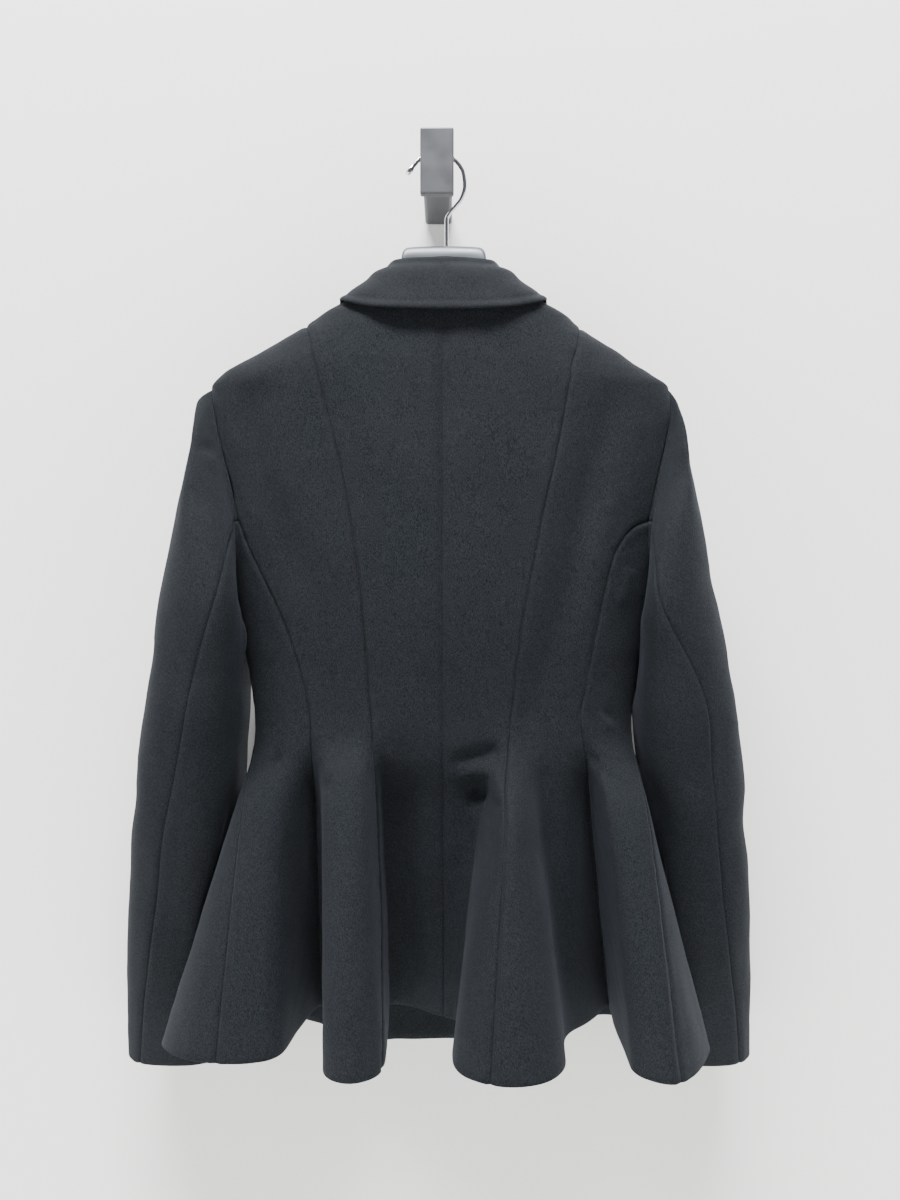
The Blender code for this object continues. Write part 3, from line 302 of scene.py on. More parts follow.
# Wire hook: x, z, relative thickness
WIRE = ((3.0, 49.0, 1.0), (3.0, 62.0, 1.0), (3.0, 73.0, 1.0), (6.0, 79.5, 1.0), (11.5, 86.0, 1.0),
        (17.0, 93.5, 1.0), (20.0, 105.5, 1.0), (18.6, 117.0, 1.0), (12.0, 127.6, 1.0),
        (3.4, 133.6, 1.0), (-5.3, 135.5, 1.0), (-14.0, 134.2, 1.0), (-21.6, 129.8, 1.0),
        (-27.4, 123.6, 1.0), (-30.2, 120.0, 1.35), (-32.2, 117.3, 1.35), (-33.3, 115.6, 0.8))
WIRE_RADIUS = 1.85

BUTTON_Z = -372.0


class Face(Enum):
    """The side of the garment that a crease is drawn on."""

    BACK = "back"
    FRONT = "front"
    RIGHT = "right"
    LEFT = "left"


class Hold(Enum):
    """How a sheet of cloth is held."""

    HUNG = "hung"
    FOLDED = "folded"


@dataclass(frozen=True)
class Crease:
    """A soft ridge (depth above 0) or trough along a path drawn on one face."""

    width: float
    depth: float
    path: tuple[tuple[float, float], ...]
    face: Face = Face.BACK

    def drawn(self) -> Array:
        """The path as a smooth line of places."""
        order = [(float(k), *place) for k, place in enumerate(self.path)]
        steps = np.linspace(0.0, len(order) - 1.0, 6 * (len(order) - 1) + 1)
        return np.stack([follow(order, steps, 1), follow(order, steps, 2)], axis=1)

    def lift(self, points: Array, normals: Array) -> Array:
        """Height of the crease over each point.

        Args:
            points: Surface points in millimetres.
            normals: Outward directions at the points.

        Returns:
            Millimetres along the normal, one per point.
        """
        if self.face in (Face.BACK, Face.FRONT):
            across = points[..., 0]
            toward = normals[..., 1] * (-1.0 if self.face is Face.BACK else 1.0)
        else:
            across = points[..., 1]
            toward = normals[..., 0] * (1.0 if self.face is Face.RIGHT else -1.0)
        line = self.drawn()
        runs = np.linalg.norm(np.diff(line, axis=0), axis=1)
        ends = np.concatenate([[0.0], np.cumsum(runs)])
        nearest = np.full(across.shape, 1e9)
        share = np.zeros(across.shape)
        for k, run in enumerate(runs):
            way = (line[k + 1] - line[k]) / max(run, 1e-6)
            u = across - line[k, 0]
            v = points[..., 2] - line[k, 1]
            t = np.clip(u * way[0] + v * way[1], 0.0, run)
            off = np.hypot(u - t * way[0], v - t * way[1])
            closer = off < nearest
            nearest = np.where(closer, off, nearest)
            share = np.where(closer, (ends[k] + t) / ends[-1], share)
        fade = 0.25 + 0.75 * np.sqrt(np.clip(4.0 * share * (1.0 - share), 0.0, 1.0))
        return self.depth * fade * np.exp(-(nearest / self.width) ** 2) * ease((toward + 0.15) / 0.45)


def between(low: Array, high: Array, low_slope: Array, high_slope: Array, t: Array) -> Array:
    """Values on a smooth curve between two ends.

    Args:
        low: Value at the start.
        high: Value at the end.
        low_slope: Slope at the start.
        high_slope: Slope at the end.
        t: Share of the way, 0 to 1.

    Returns:
        The values.
    """
    return (low * (2.0 * t ** 3 - 3.0 * t ** 2 + 1.0) + low_slope * (t ** 3 - 2.0 * t ** 2 + t)
            + high * (3.0 * t ** 2 - 2.0 * t ** 3) + high_slope * (t ** 3 - t ** 2))


def follow(table: Table, at: Array, column: int = 1) -> Array:
    """Value of one column of a table along a smooth curve with no overshoot.

    Args:
        table: Rows whose first number is the place.
        at: Places to read.
        column: The column to read.

    Returns:
        The values at the places.
    """
    rows = np.array([[row[0], row[column]] for row in table], dtype=float)
    x = rows[:, 0]
    y = rows[:, 1]
    step = np.diff(x)
    rise = np.diff(y) / step
    slope = np.zeros(len(x))
    slope[0] = rise[0]
    slope[-1] = rise[-1]
    for i in range(1, len(x) - 1):
        if rise[i - 1] * rise[i] > 0.0:
            before = 2.0 * step[i] + step[i - 1]
            after = step[i] + 2.0 * step[i - 1]
            slope[i] = (before + after) / (before / rise[i - 1] + after / rise[i])
    place = np.clip(np.asarray(at, dtype=float), x[0], x[-1])
    i = np.clip(np.searchsorted(x, place, side="right") - 1, 0, len(x) - 2)
    h = step[i]
    t = (place - x[i]) / h
    return between(y[i], y[i + 1], h * slope[i], h * slope[i + 1], t)


def unit(vectors: Array) -> Array:
    """Vectors scaled to length one."""
    return vectors / np.maximum(np.linalg.norm(vectors, axis=-1, keepdims=True), 1e-9)


def ease(t: Array) -> Array:
    """Smooth step from 0 to 1."""
    t = np.clip(t, 0.0, 1.0)
    return t * t * (3.0 - 2.0 * t)


def finer(grid: Array, factor: int) -> Array:
    """More rows for a grid of angles or heights, with no overshoot.

    Args:
        grid: Rows by columns.
        factor: New steps for each old one.

    Returns:
        The finer grid, which keeps the old rows.
    """
    rows = grid.shape[0]
    rise = np.diff(grid, axis=0)
    slope = np.zeros_like(grid)
    slope[0] = rise[0]
    slope[-1] = rise[-1]
    total = rise[:-1] + rise[1:]
    both = rise[:-1] * rise[1:]
    slope[1:-1] = np.where(both > 0.0, 2.0 * both / np.where(both > 0.0, total, 1.0), 0.0)
    at = np.linspace(0.0, rows - 1.0, (rows - 1) * factor + 1)
    i = np.minimum(at.astype(int), rows - 2)
    t = (at - i)[:, None]
    return between(grid[i], grid[i + 1], slope[i], slope[i + 1], t)


def spline(points: Array, step: float, ring: bool = False) -> tuple[Array, list[int]]:
    """Natural cubic curves through the rows of a grid of points.

    Args:
        points: Rows by columns by three.
        step: Greatest spacing of the new rows.
        ring: Whether the last row leads back to the first.

    Returns:
        The finer grid, and where the old rows are in it.
    """
    first = 0
    count = len(points)
    work = points
    if ring:
        work = np.concatenate([points[-5:], points, points[:6]])
        first = 5
        count += 1
    gaps = np.linalg.norm(np.diff(work, axis=0), axis=-1).mean(axis=1)
    at = np.concatenate([[0.0], np.cumsum(gaps)])
    size = len(at)
    matrix = np.eye(size)
    right = np.zeros((size, work[0].size))
    flat = work.reshape(size, -1)
    for i in range(1, size - 1):
        matrix[i, i - 1:i + 2] = (gaps[i - 1], 2.0 * (gaps[i - 1] + gaps[i]), gaps[i])
        right[i] = 6.0 * ((flat[i + 1] - flat[i]) / gaps[i] - (flat[i] - flat[i - 1]) / gaps[i - 1])
    bend = np.linalg.solve(matrix, right)
    new = []
    places = []
    for i in range(first, first + count - 1):
        places.append(len(new))
        h = gaps[i]
        pieces = max(1, math.ceil(h / step))
        for k in range(pieces):
            b = k / pieces
            a = 1.0 - b
            new.append(a * flat[i] + b * flat[i + 1]
                       + ((a ** 3 - a) * bend[i] + (b ** 3 - b) * bend[i + 1]) * h * h / 6.0)
    places.append(len(new))
    new.append(flat[first + count - 1])
    return np.array(new).reshape(-1, *points.shape[1:]), places


def grid_normals(points: Array, ring: bool = False) -> Array:
    """Directions square to a grid of points; a ring's last column repeats its first."""
    if ring:
        wide = np.concatenate([points[:, -2:-1], points, points[:, 1:2]], axis=1)
        around = wide[:, 2:] - wide[:, :-2]
    else:
        around = np.gradient(points, axis=1)
    return unit(np.cross(around, np.gradient(points, axis=0)))


def ripple(points: Array, height: float, length: float, seed: float) -> Array:
    """Slow uneven waves over a surface.

    Args:
        points: Surface points in millimetres.
        height: Greatest height of the waves.
        length: Usual distance between waves.
        seed: Shifts the waves.

    Returns:
        Millimetres along the normal.
    """
    total = np.zeros(points.shape[:-1])
    for k in range(6):
        turn = seed + 2.4 * k
        way = np.array([math.cos(turn), math.sin(1.7 * turn), math.sin(turn)])
        total += np.sin(points @ way * (2.0 * math.pi / (length * (0.7 + 0.13 * k))) + 1.9 * turn)
    return height * total / 3.0


def to_world(points: Array) -> Array:
    """Garment millimetres to metres in the shared frame."""
    return (points + np.array(NAPE_FROM_HOOK)) * MM


def smooth_mesh(name: str, places: Array, faces: list, weld: bool = False) -> bpy.types.Object:
    """A smooth mesh with its faces turned outward.

    Args:
        name: Name of the mesh and object.
        places: Its points in garment millimetres.
        faces: The points of each face.
        weld: Whether points in one place become one.

    Returns:
        The object, not yet in the scene.
    """
    mesh = bpy.data.meshes.new(name)
    mesh.from_pydata(to_world(places).tolist(), [], faces)
    mesh.polygons.foreach_set("use_smooth", [True] * len(faces))
    work = bmesh.new()
    work.from_mesh(mesh)
    if weld:
        bmesh.ops.remove_doubles(work, verts=work.verts, dist=0.000001)
    bmesh.ops.recalc_face_normals(work, faces=work.faces)
    work.to_mesh(mesh)
    work.free()
    mesh.update()
    return bpy.data.objects.new(name, mesh)


def turned_solid(name: str, rings: Array, ends: bool) -> bpy.types.Object:
    """A smooth solid from rings of points, with its faces turned outward.

    Args:
        name: Name of the mesh and object.
        rings: Rings of points in garment millimetres.
        ends: Whether the end rings get a face; otherwise they are single points.

    Returns:
        The object.
    """
    count, ring = rings.shape[:2]
    faces = [(i * ring + k, i * ring + (k + 1) % ring, (i + 1) * ring + (k + 1) % ring, (i + 1) * ring + k)
             for i in range(count - 1) for k in range(ring)]
    if ends:
        faces.append(tuple(range(ring - 1, -1, -1)))
        faces.append(tuple(range((count - 1) * ring, count * ring)))
    return smooth_mesh(name, rings.reshape(-1, 3), faces, not ends)


def round_wire(name: str, line: list[Array], radius: float, sides: int,
               swell: list[float]) -> bpy.types.Object:
    """A round wire or thread along a line of points.

    Args:
        name: Name of the curve and object.
        line: Points in garment millimetres.
        radius: Half its thickness in millimetres.
        sides: Steps across its roundness.
        swell: Thickness at each point as a share of the whole.

    Returns:
        The object.
    """
    curve = bpy.data.curves.new(name, "CURVE")
    curve.dimensions = "3D"
    curve.bevel_depth = MM * radius
    curve.bevel_resolution = sides
    curve.use_fill_caps = True
    run = curve.splines.new("POLY")
    run.points.add(len(line) - 1)
    for point, place, share in zip(run.points, line, swell):
        point.co = (*to_world(place).tolist(), 1.0)
        point.radius = share
    return bpy.data.objects.new(name, curve)


def put_in_scene(obj: bpy.types.Object, material: bpy.types.Material,
                 nodes: tuple[str, ...]) -> None:
    """Link a piece, give it its finish, and hand it to the frame.

    Args:
        obj: The piece.
        material: Its material.
        nodes: The solids that it stands for.
    """
    bpy.context.scene.collection.objects.link(obj)
    obj.data.materials.append(material)
    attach(obj, "root")
    if nodes:
        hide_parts(*nodes)
    LOG.info("built %s", obj.name)


def shell(name: str, points: Array, normals: Array, outward: float, inward: float) -> bpy.types.Object:
    """A thin cloth shell with round edges on a grid.

    Args:
        name: Name of the piece.
        points: Rows by columns of surface points in millimetres.
        normals: Outward directions.
        outward: Cloth outside the surface.
        inward: Cloth inside it.

    Returns:
        The object, not yet in the scene.
    """
    rows, columns = points.shape[:2]
    count = rows * columns
    rim = list(range(columns))
    rim += [i * columns + columns - 1 for i in range(1, rows)]
    rim += [(rows - 1) * columns + j for j in range(columns - 2, -1, -1)]
    rim += [i * columns for i in range(rows - 2, 0, -1)]
    flat = points.reshape(-1, 3)
    facing = normals.reshape(-1, 3)
    edge = flat[rim]
    along = unit(np.roll(edge, -1, axis=0) - np.roll(edge, 1, axis=0))
    away = unit(np.cross(along, facing[rim]))
    half = columns // 2
    away *= np.sign(np.dot(away[half], points[0, half] - points[1, half]))
    thick = outward + inward
    mid = edge + facing[rim] * (0.5 * (outward - inward)) + away * 0.38 * thick
    vertices = np.vstack([flat + outward * facing, flat - inward * facing, mid])
    i, j = np.meshgrid(np.arange(rows - 1), np.arange(columns - 1), indexing="ij")
    a = (i * columns + j).ravel()
    quads = np.stack([a, a + 1, a + columns + 1, a + columns], axis=1)
    faces = quads.tolist() + (quads[:, ::-1] + count).tolist()
    for k, here in enumerate(rim):
        after = rim[(k + 1) % len(rim)]
        one = 2 * count + k
        two = 2 * count + (k + 1) % len(rim)
        faces.append((after, here, one, two))
        faces.append((two, one, count + here, count + after))
    return smooth_mesh(name, vertices, faces)


def neck_height(angle: float) -> float:
    """Height of the neck seam, from 0 degrees at the nape to 90 at the roll line's top."""
    return ROLL_TOP_Z * (angle / 90.0) ** 1.3


def tuck_under(x: Array) -> Array:
    """How far the left front lies under the right one."""
    return FRONT_TUCK * ease((x + 52.0) / 28.0)


def seam_distance(points: Array) -> Array:
    """Distance of each point of a grid from the nearer of its two side edges."""
    steps = np.linalg.norm(np.diff(points, axis=1), axis=-1)
    along = np.concatenate([np.zeros((len(points), 1)), np.cumsum(steps, axis=1)], axis=1)
    return np.minimum(along, along[:, -1:] - along)


def pressed_seam(off: Array, depth: float, width: float) -> Array:
    """Groove of a pressed seam and the soft ridge beside it.

    Args:
        off: Distance from the seam.
        depth: Depth of the groove.
        width: Its half width.

    Returns:
        Millimetres along the normal.
    """
    return 0.3 * np.exp(-((off - 6.0) / 4.5) ** 2) - depth * np.exp(-(off / width) ** 2)


@dataclass(frozen=True)
class BodyForm:
    """The shared surface that every body piece, sleeve seam and lapel lies on."""

    sections: Table = SECTIONS
    right_shoulder: Table = RIGHT_SHOULDER
    hem_plan: Table = HEM_PLAN
    hem_heights: Table = HEM_HEIGHTS
    kick: Table = KICK

    def point(self, angle: Array, height: Array) -> Array:
        """Outer face of the body.

        Args:
            angle: 0 at the centre back, 90 at the wearer's right, 180 at the front.
            height: Level; below the waist a share of the fall to the hem.

        Returns:
            Points in garment millimetres.
        """
        angle, height = np.broadcast_arrays(np.asarray(angle, float), np.asarray(height, float))
        turn = (angle + 180.0) % 360.0 - 180.0
        level = np.maximum(height, WAIST_Z)
        half = follow(self.sections, level, 1)
        back = follow(self.sections, level, 2)
        front = follow(self.sections, level, 3)
        power = 2.0 / follow(self.sections, level, 4)
        sine = np.sin(np.radians(turn))
        cosine = np.cos(np.radians(turn))
        middle = 0.5 * (back + front)
        half = half + np.where(sine > 0.0, follow(self.right_shoulder, level), 0.0)
        x = half * np.sign(sine) * np.abs(sine) ** power
        y = middle - 0.5 * (front - back) * np.sign(cosine) * np.abs(cosine) ** power
        fall = np.clip((WAIST_Z - height) / (WAIST_Z - HEM_Z), 0.0, 1.0)
        kick = follow(self.kick, fall)
        shift = follow(FLUTE_SHIFT, fall) * np.exp(-((turn - FLUTE_SHIFT_PLACE) / FLUTE_SHIFT_SPREAD) ** 2)
        x = (1.0 - fall) * x + fall * follow(self.hem_plan, turn + shift, 1)
        off = turn - FLUTE_CENTRE
        pinch = follow(FLUTE_PINCH, fall) * np.exp(-(off / FLUTE_PINCH_SPREAD) ** 2)
        pinched = turn + off * pinch + shift
        y = (1.0 - kick) * y + kick * follow(self.hem_plan, pinched, 2)
        low = WAIST_Z + fall * (follow(self.hem_heights, np.abs(turn)) - WAIST_Z)
        return np.stack([x, y, np.where(height >= WAIST_Z, height, low)], axis=-1)

    def soft_point(self, angle: Array, height: Array) -> Array:
        """The outer face with its sharp turns eased, as heavy cloth eases them.

        Args:
            angle: 0 at the centre back, 90 at the wearer's right.
            height: Level in millimetres.

        Returns:
            Points in garment millimetres.
        """
        angle, height = np.broadcast_arrays(np.asarray(angle, float), np.asarray(height, float))
        step = 9.0 * np.exp(-((height - WAIST_Z + 14.0) / 60.0) ** 2)
        total = 0.0
        for k, part in ((-2, 0.1), (-1, 0.2), (0, 0.4), (1, 0.2), (2, 0.1)):
            level = height + k * step
            below = (WAIST_Z - level) / (WAIST_Z - HEM_Z)
            near_waist = ease((below + 0.12) / 0.14) * (1.0 - ease(below / 0.3))
            turn = 0.02 + 0.6 * ease(below / 0.2) + 1.2 * near_waist
            total = total + 0.3 * part * self.point(angle, level)
            for far, weight in ((1.0, 0.2), (2.0, 0.1), (3.0, 0.05)):
                total = total + weight * part * self.point(angle + far * turn, level)
                total = total + weight * part * self.point(angle - far * turn, level)
        return total

    def normal(self, angle: Array, height: Array) -> Array:
        """Outward direction of the body surface.

        Args:
            angle: 0 at the centre back, 90 at the wearer's right.
            height: Level in millimetres.

        Returns:
            Directions of length one.
        """
        angle, height = np.broadcast_arrays(np.asarray(angle, float), np.asarray(height, float))
        middle = self.point(angle, height)
        after = unit(self.point(angle + 0.4, height) - middle)
        before = unit(middle - self.point(angle - 0.4, height))
        around = after + before
        upward = self.point(angle, height + 1.5) - self.point(angle, np.maximum(height - 1.5, HEM_Z))
        return unit(np.cross(around, upward))

    def front(self, angle: Array, height: Array, side: int, lift: float = 0.0) -> Array:
        """Point of a front: the left one passes under the right one near the centre.

        Args:
            angle: 0 at the centre back, 90 at the wearer's right.
            height: Level in millimetres.
            side: 1 for the wearer's right, -1 for the left.
            lift: Height over the surface.

        Returns:
            The point in garment millimetres.
        """
        base = self.point(angle, height)
        tuck = 0.0 * base[..., 0]
        if side < 0:
            tuck = tuck_under(base[..., 0])
        return base + self.normal(angle, height) * (lift - tuck)[..., None]

    def section_turn(self, x: float, half: float, height: float) -> float:
        """Turn from the centre line of a point x out on a section of that half width.

        Args:
            x: Distance from the centre line.
            half: Half width of the section.
            height: Level in millimetres.

        Returns:
            The turn from 0 to 90 degrees.
        """
        power = float(follow(self.sections, height, 4)) / 2.0
        return math.degrees(math.asin(min(1.0, abs(x) / half) ** power))

    def angle_at(self, x: float, height: float, front: bool = False) -> float:
        """Angle of the point of a section that is x from the centre line.

        Args:
            x: Distance from the centre line.
            height: Level in millimetres.
            front: Whether the point is on the front.

        Returns:
            The angle in degrees.
        """
        half = float(follow(self.sections, height, 1))
        if x > 0.0 and not front:
            half += float(follow(self.right_shoulder, height))
        turn = self.section_turn(x, half, height)
        if front:
            return math.copysign(180.0 - turn, x)
        return math.copysign(turn, x)

    def armhole(self, station: float, side: int) -> tuple[float, float]:
        """Angle and height of a station round the armhole, 0 at the shoulder tip.

        Args:
            station: Degrees round the armhole.
            side: 1 for the wearer's right, -1 for the left.

        Returns:
            The angle round the body, and the height.
        """
        c = math.cos(math.radians(station))
        s = math.sin(math.radians(station))
        middle = 0.5 * (SHOULDER_TIP_Z + UNDERARM_Z)
        radius = 0.5 * (SHOULDER_TIP_Z - UNDERARM_Z)
        return side * (90.0 - (ARMHOLE_DEPTH - ARMHOLE_LEAN * c) * s), middle + radius * c

    def roll_x(self, height: float) -> float:
        """Distance of the roll line from the centre at a height."""
        down = ROLL_TOP_Z - height
        return 66.0 - 0.223 * down - 7.0 * math.sin(math.pi * min(1.0, down / ROLL_DROP))

    def roll_angle(self, height: float, side: int) -> float:
        """Angle of the roll line or front edge at a height.

        Args:
            height: Level in millimetres.
            side: 1 for the wearer's right, -1 for the left.

        Returns:
            The angle in degrees.
        """
        if height >= ROLL_TOP_Z - 0.1:
            return side * 90.0
        x = self.roll_x(height)
        turn = self.section_turn(x, float(follow(self.sections, height, 1)), height)
        return side * (180.0 - math.copysign(turn, x))


@dataclass(frozen=True)
class BodyPanels:
    """The ten panels of the body, back to front, with their seams and hem."""

    form: BodyForm
    wool: bpy.types.Material
    creases: tuple[Crease, ...] = ()
    row_factor: int = 7
    column_factor: int = 5
    cloth: float = 1.5

    def lower_levels(self) -> list[float]:
        """Heights from waist to hem."""
        return [WAIST_Z + step * (HEM_Z - WAIST_Z) for step in PEPLUM_STEPS]

    def lower_edge(self, top_angle: float, low_angle: float) -> list[tuple[float, float]]:
        """An edge below the waist, easing to the angle that it keeps."""
        return [(top_angle + (low_angle - top_angle) * min(1.0, step / 0.2), height)
                for step, height in zip(PEPLUM_STEPS, self.lower_levels())]

    def seam_edge(self, levels: Table, table: Table, side: int, low_angle: float,
                  front: bool = False) -> list[tuple[float, float]]:
        """An edge that follows a seam table down to the waist.

        Args:
            levels: Heights of its points.
            table: Height and distance from the centre line.
            side: 1 for the wearer's right, -1 for the left.
            low_angle: Angle that it keeps below the waist.
            front: Whether the seam is on the front.

        Returns:
            Angle and height of each point.
        """
        edge = [(self.form.angle_at(side * float(follow(table, z)), z, front), z) for z in levels]
        waist = self.form.angle_at(side * float(follow(table, WAIST_Z)), WAIST_Z, front)
        return edge + self.lower_edge(waist, side * low_angle)

    def straight_edge(self, levels: Table, angle: float) -> list[tuple[float, float]]:
        """An edge at one angle all the way down."""
        return [(angle, z) for z in levels] + [(angle, z) for z in self.lower_levels()]

    def hem_shares(self, first: float, last: float, count: int) -> Array:
        """Shares of the angle between two edges that space a hem evenly.

        Args:
            first: Angle of the first edge.
            last: Angle of the last edge.
            count: How many shares.

        Returns:
            Shares from 0 to 1.
        """
        angles = np.linspace(first, last, 240)
        points = self.form.point(angles, HEM_Z)
        lengths = np.concatenate([[0.0], np.cumsum(np.linalg.norm(np.diff(points, axis=0), axis=1))])
        even = np.interp(np.linspace(0.0, lengths[-1], count), lengths, angles)
        return 0.85 * (even - first) / (last - first) + 0.15 * np.linspace(0.0, 1.0, count)

    def grid(self, first: list, last: list, top: list, columns: int) -> tuple[Array, Array]:
        """Angles and heights of a panel between two edges.

        Args:
            first: Angle and height down the first edge.
            last: The same down the last edge.
            top: The upper edge, column by column.
            columns: Number of columns.

        Returns:
            Grids of angles and of heights.
        """
        rows = len(first)
        shares = self.hem_shares(first[-1][0], last[-1][0], columns)
        angles = np.zeros((rows, columns))
        heights = np.zeros((rows, columns))
        width = top[-1][0] - top[0][0]
        top_shares = shares
        if abs(width) > 1.0:
            top_shares = np.array([(angle - top[0][0]) / width for angle, _ in top])
        rise = np.array([z for _, z in top]) - (top[0][1] + (top[-1][1] - top[0][1]) * top_shares)
        for i in range(rows):
            keep = max(0.0, 1.0 - i / 6.0) ** 2
            share = keep * top_shares + (1.0 - keep) * shares
            angles[i] = first[i][0] + share * (last[i][0] - first[i][0])
            heights[i] = first[i][1] + share * (last[i][1] - first[i][1]) + keep * rise
        return (finer(finer(angles, self.row_factor).T, self.column_factor).T,
                finer(finer(heights, self.row_factor).T, self.column_factor).T)

    def dress(self, points: Array, normals: Array, heights: Array) -> Array:
        """Creases, pressed seams and the turned-up hem, as a height over the surface.

        Args:
            points: Surface points in millimetres.
            normals: Outward directions.
            heights: Levels of the points.

        Returns:
            Millimetres along the normal.
        """
        off = seam_distance(points)
        lift = ripple(points, 0.35, 74.0, 0.6) + ripple(points, 0.12, 23.0, 2.1)
        lift += pressed_seam(off, 1.2, 1.5)
        lift += ripple(points, 0.28, 15.0, 1.3) * np.exp(-(off / 9.0) ** 2)
        above = heights - HEM_Z
        lift += 0.45 * np.exp(-((above - HEM_TURNED - 1.0) / 3.2) ** 2)
        lift += 0.35 * ease((HEM_TURNED - above) / 5.0)
        for crease in self.creases:
            lift = lift + crease.lift(points, normals)
        return lift

    def build(self) -> None:
        """Make the five panels of each half."""
        form = self.form
        for side, word in ((1, "right"), (-1, "left")):
            low = LOWER_ANGLES[side]
            middle_back = self.straight_edge(BACK_LEVELS, 0.0)
            princess = self.seam_edge(PRINCESS_LEVELS, BACK_PRINCESS[side], side, low["back_princess"])
            side_back = self.seam_edge(SIDE_BACK_LEVELS, SIDE_BACK[side], side, low["side_back"])
            front_princess = self.seam_edge(FRONT_LEVELS, FRONT_PRINCESS, side, low["front_princess"], True)
            roll = [(form.roll_angle(z, side), z) for z in ROLL_LEVELS]
            roll += self.lower_edge(form.roll_angle(WAIST_Z, side), side * (180.0 + FRONT_OVERLAP_ANGLE))
            hole_back = [form.armhole(s, side) for s in ARMHOLE_BACK]
            hole_low = [form.armhole(s, side) for s in np.linspace(ARMHOLE_BACK[-1], 180.0, SIDE_COLUMNS)]
            hole_front = [form.armhole(s, side) for s in ARMHOLE_FRONT]
            neck = [(side * a, neck_height(a)) for a in np.linspace(0.0, 90.0, 7)]
            yoke = [(side * 90.0, z) for z in np.linspace(ROLL_TOP_Z, PRINCESS_LEVELS[0], 5)[1:]]
            self.panel("back_" + word, middle_back, princess, neck + yoke, 11, side)
            ridge = [(side * 90.0, z) for z in np.linspace(PRINCESS_LEVELS[0], SHOULDER_TIP_Z, 12)]
            self.panel("side_back_" + word, princess, hole_back + side_back, ridge, 12, side)
            side_seam = self.straight_edge(SIDE_LEVELS, side * 90.0)
            self.panel("side_" + word, [hole_back[-1]] + side_back, [(side * 90.0, UNDERARM_Z)] + side_seam,
                       hole_low, SIDE_COLUMNS, side)
            ridge = [(side * 90.0, z) for z in np.linspace(SHOULDER_TIP_Z, PRINCESS_LEVELS[0], 13)]
            side_seam = self.straight_edge(SIDE_FRONT_LEVELS, side * 90.0)
            self.panel("side_front_" + word, hole_front + side_seam, front_princess, ridge, 13, side)
            yoke = [(side * 90.0, z) for z in np.linspace(PRINCESS_LEVELS[0], ROLL_TOP_Z, 9)]
            self.panel("front_" + word, front_princess, roll, yoke, 9, side)

    def panel(self, name: str, first: list, last: list, top: list, columns: int, side: int) -> None:
        """Make one panel in its place.

        Args:
            name: The solid that it stands for.
            first: Angle and height down the first edge.
            last: The same down the last edge.
            top: The upper edge, column by column.
            columns: Columns before they are made finer.
            side: 1 for the wearer's right, -1 for the left.
        """
        angles, heights = self.grid(first, last, top, columns)
        points = self.form.soft_point(angles, heights)
        if name.startswith("front_") and side < 0:
            points = points - self.form.normal(angles, heights) * tuck_under(points[..., 0])[..., None]
        normals = self.form.normal(angles, heights)
        lift = self.dress(points, normals, heights)
        lay_cloth(name, points + normals * lift[..., None], normals, self.wool, self.cloth)


def inset(points: Array, normals: Array, gap: float) -> Array:
    """Draw the four edges of a grid inward along the surface.

    Args:
        points: Rows by columns of surface points.
        normals: Outward directions.
        gap: How far the edges move.

    Returns:
        The moved points.
    """
    moved = points.copy()
    rows, columns = points.shape[:2]
    sides = (
        (points[:, 0], points[:, 1], normals[:, 0], (slice(None), 0)),
        (points[:, -1], points[:, -2], normals[:, -1], (slice(None), columns - 1)),
        (points[0], points[1], normals[0], (0, slice(None))),
        (points[-1], points[-2], normals[-1], (rows - 1, slice(None))),
    )
    for edge, inner, normal, place in sides:
        across = unit(np.cross(normal, np.gradient(edge, axis=0)))
        toward = np.sign(np.sum(across * (inner - edge), axis=-1, keepdims=True))
        moved[place] += gap * across * toward
    return moved


def lay_cloth(name: str, points: Array, normals: Array, wool: bpy.types.Material, cloth: float) -> None:
    """Make the cloth of one cut piece and put it in its place.

    Args:
        name: The solid that it stands for.
        points: The grid of its outer face.
        normals: Outward directions.
        wool: Its material.
        cloth: Thickness of the cloth.
    """
    points = inset(points, normals, SEAM_GAP)
    facing = grid_normals(points)
    facing = facing * np.sign(np.sum(facing * normals))
    piece = shell("cloth_" + name, points, facing, 0.0, cloth)
    put_in_scene(piece, wool, (name,))


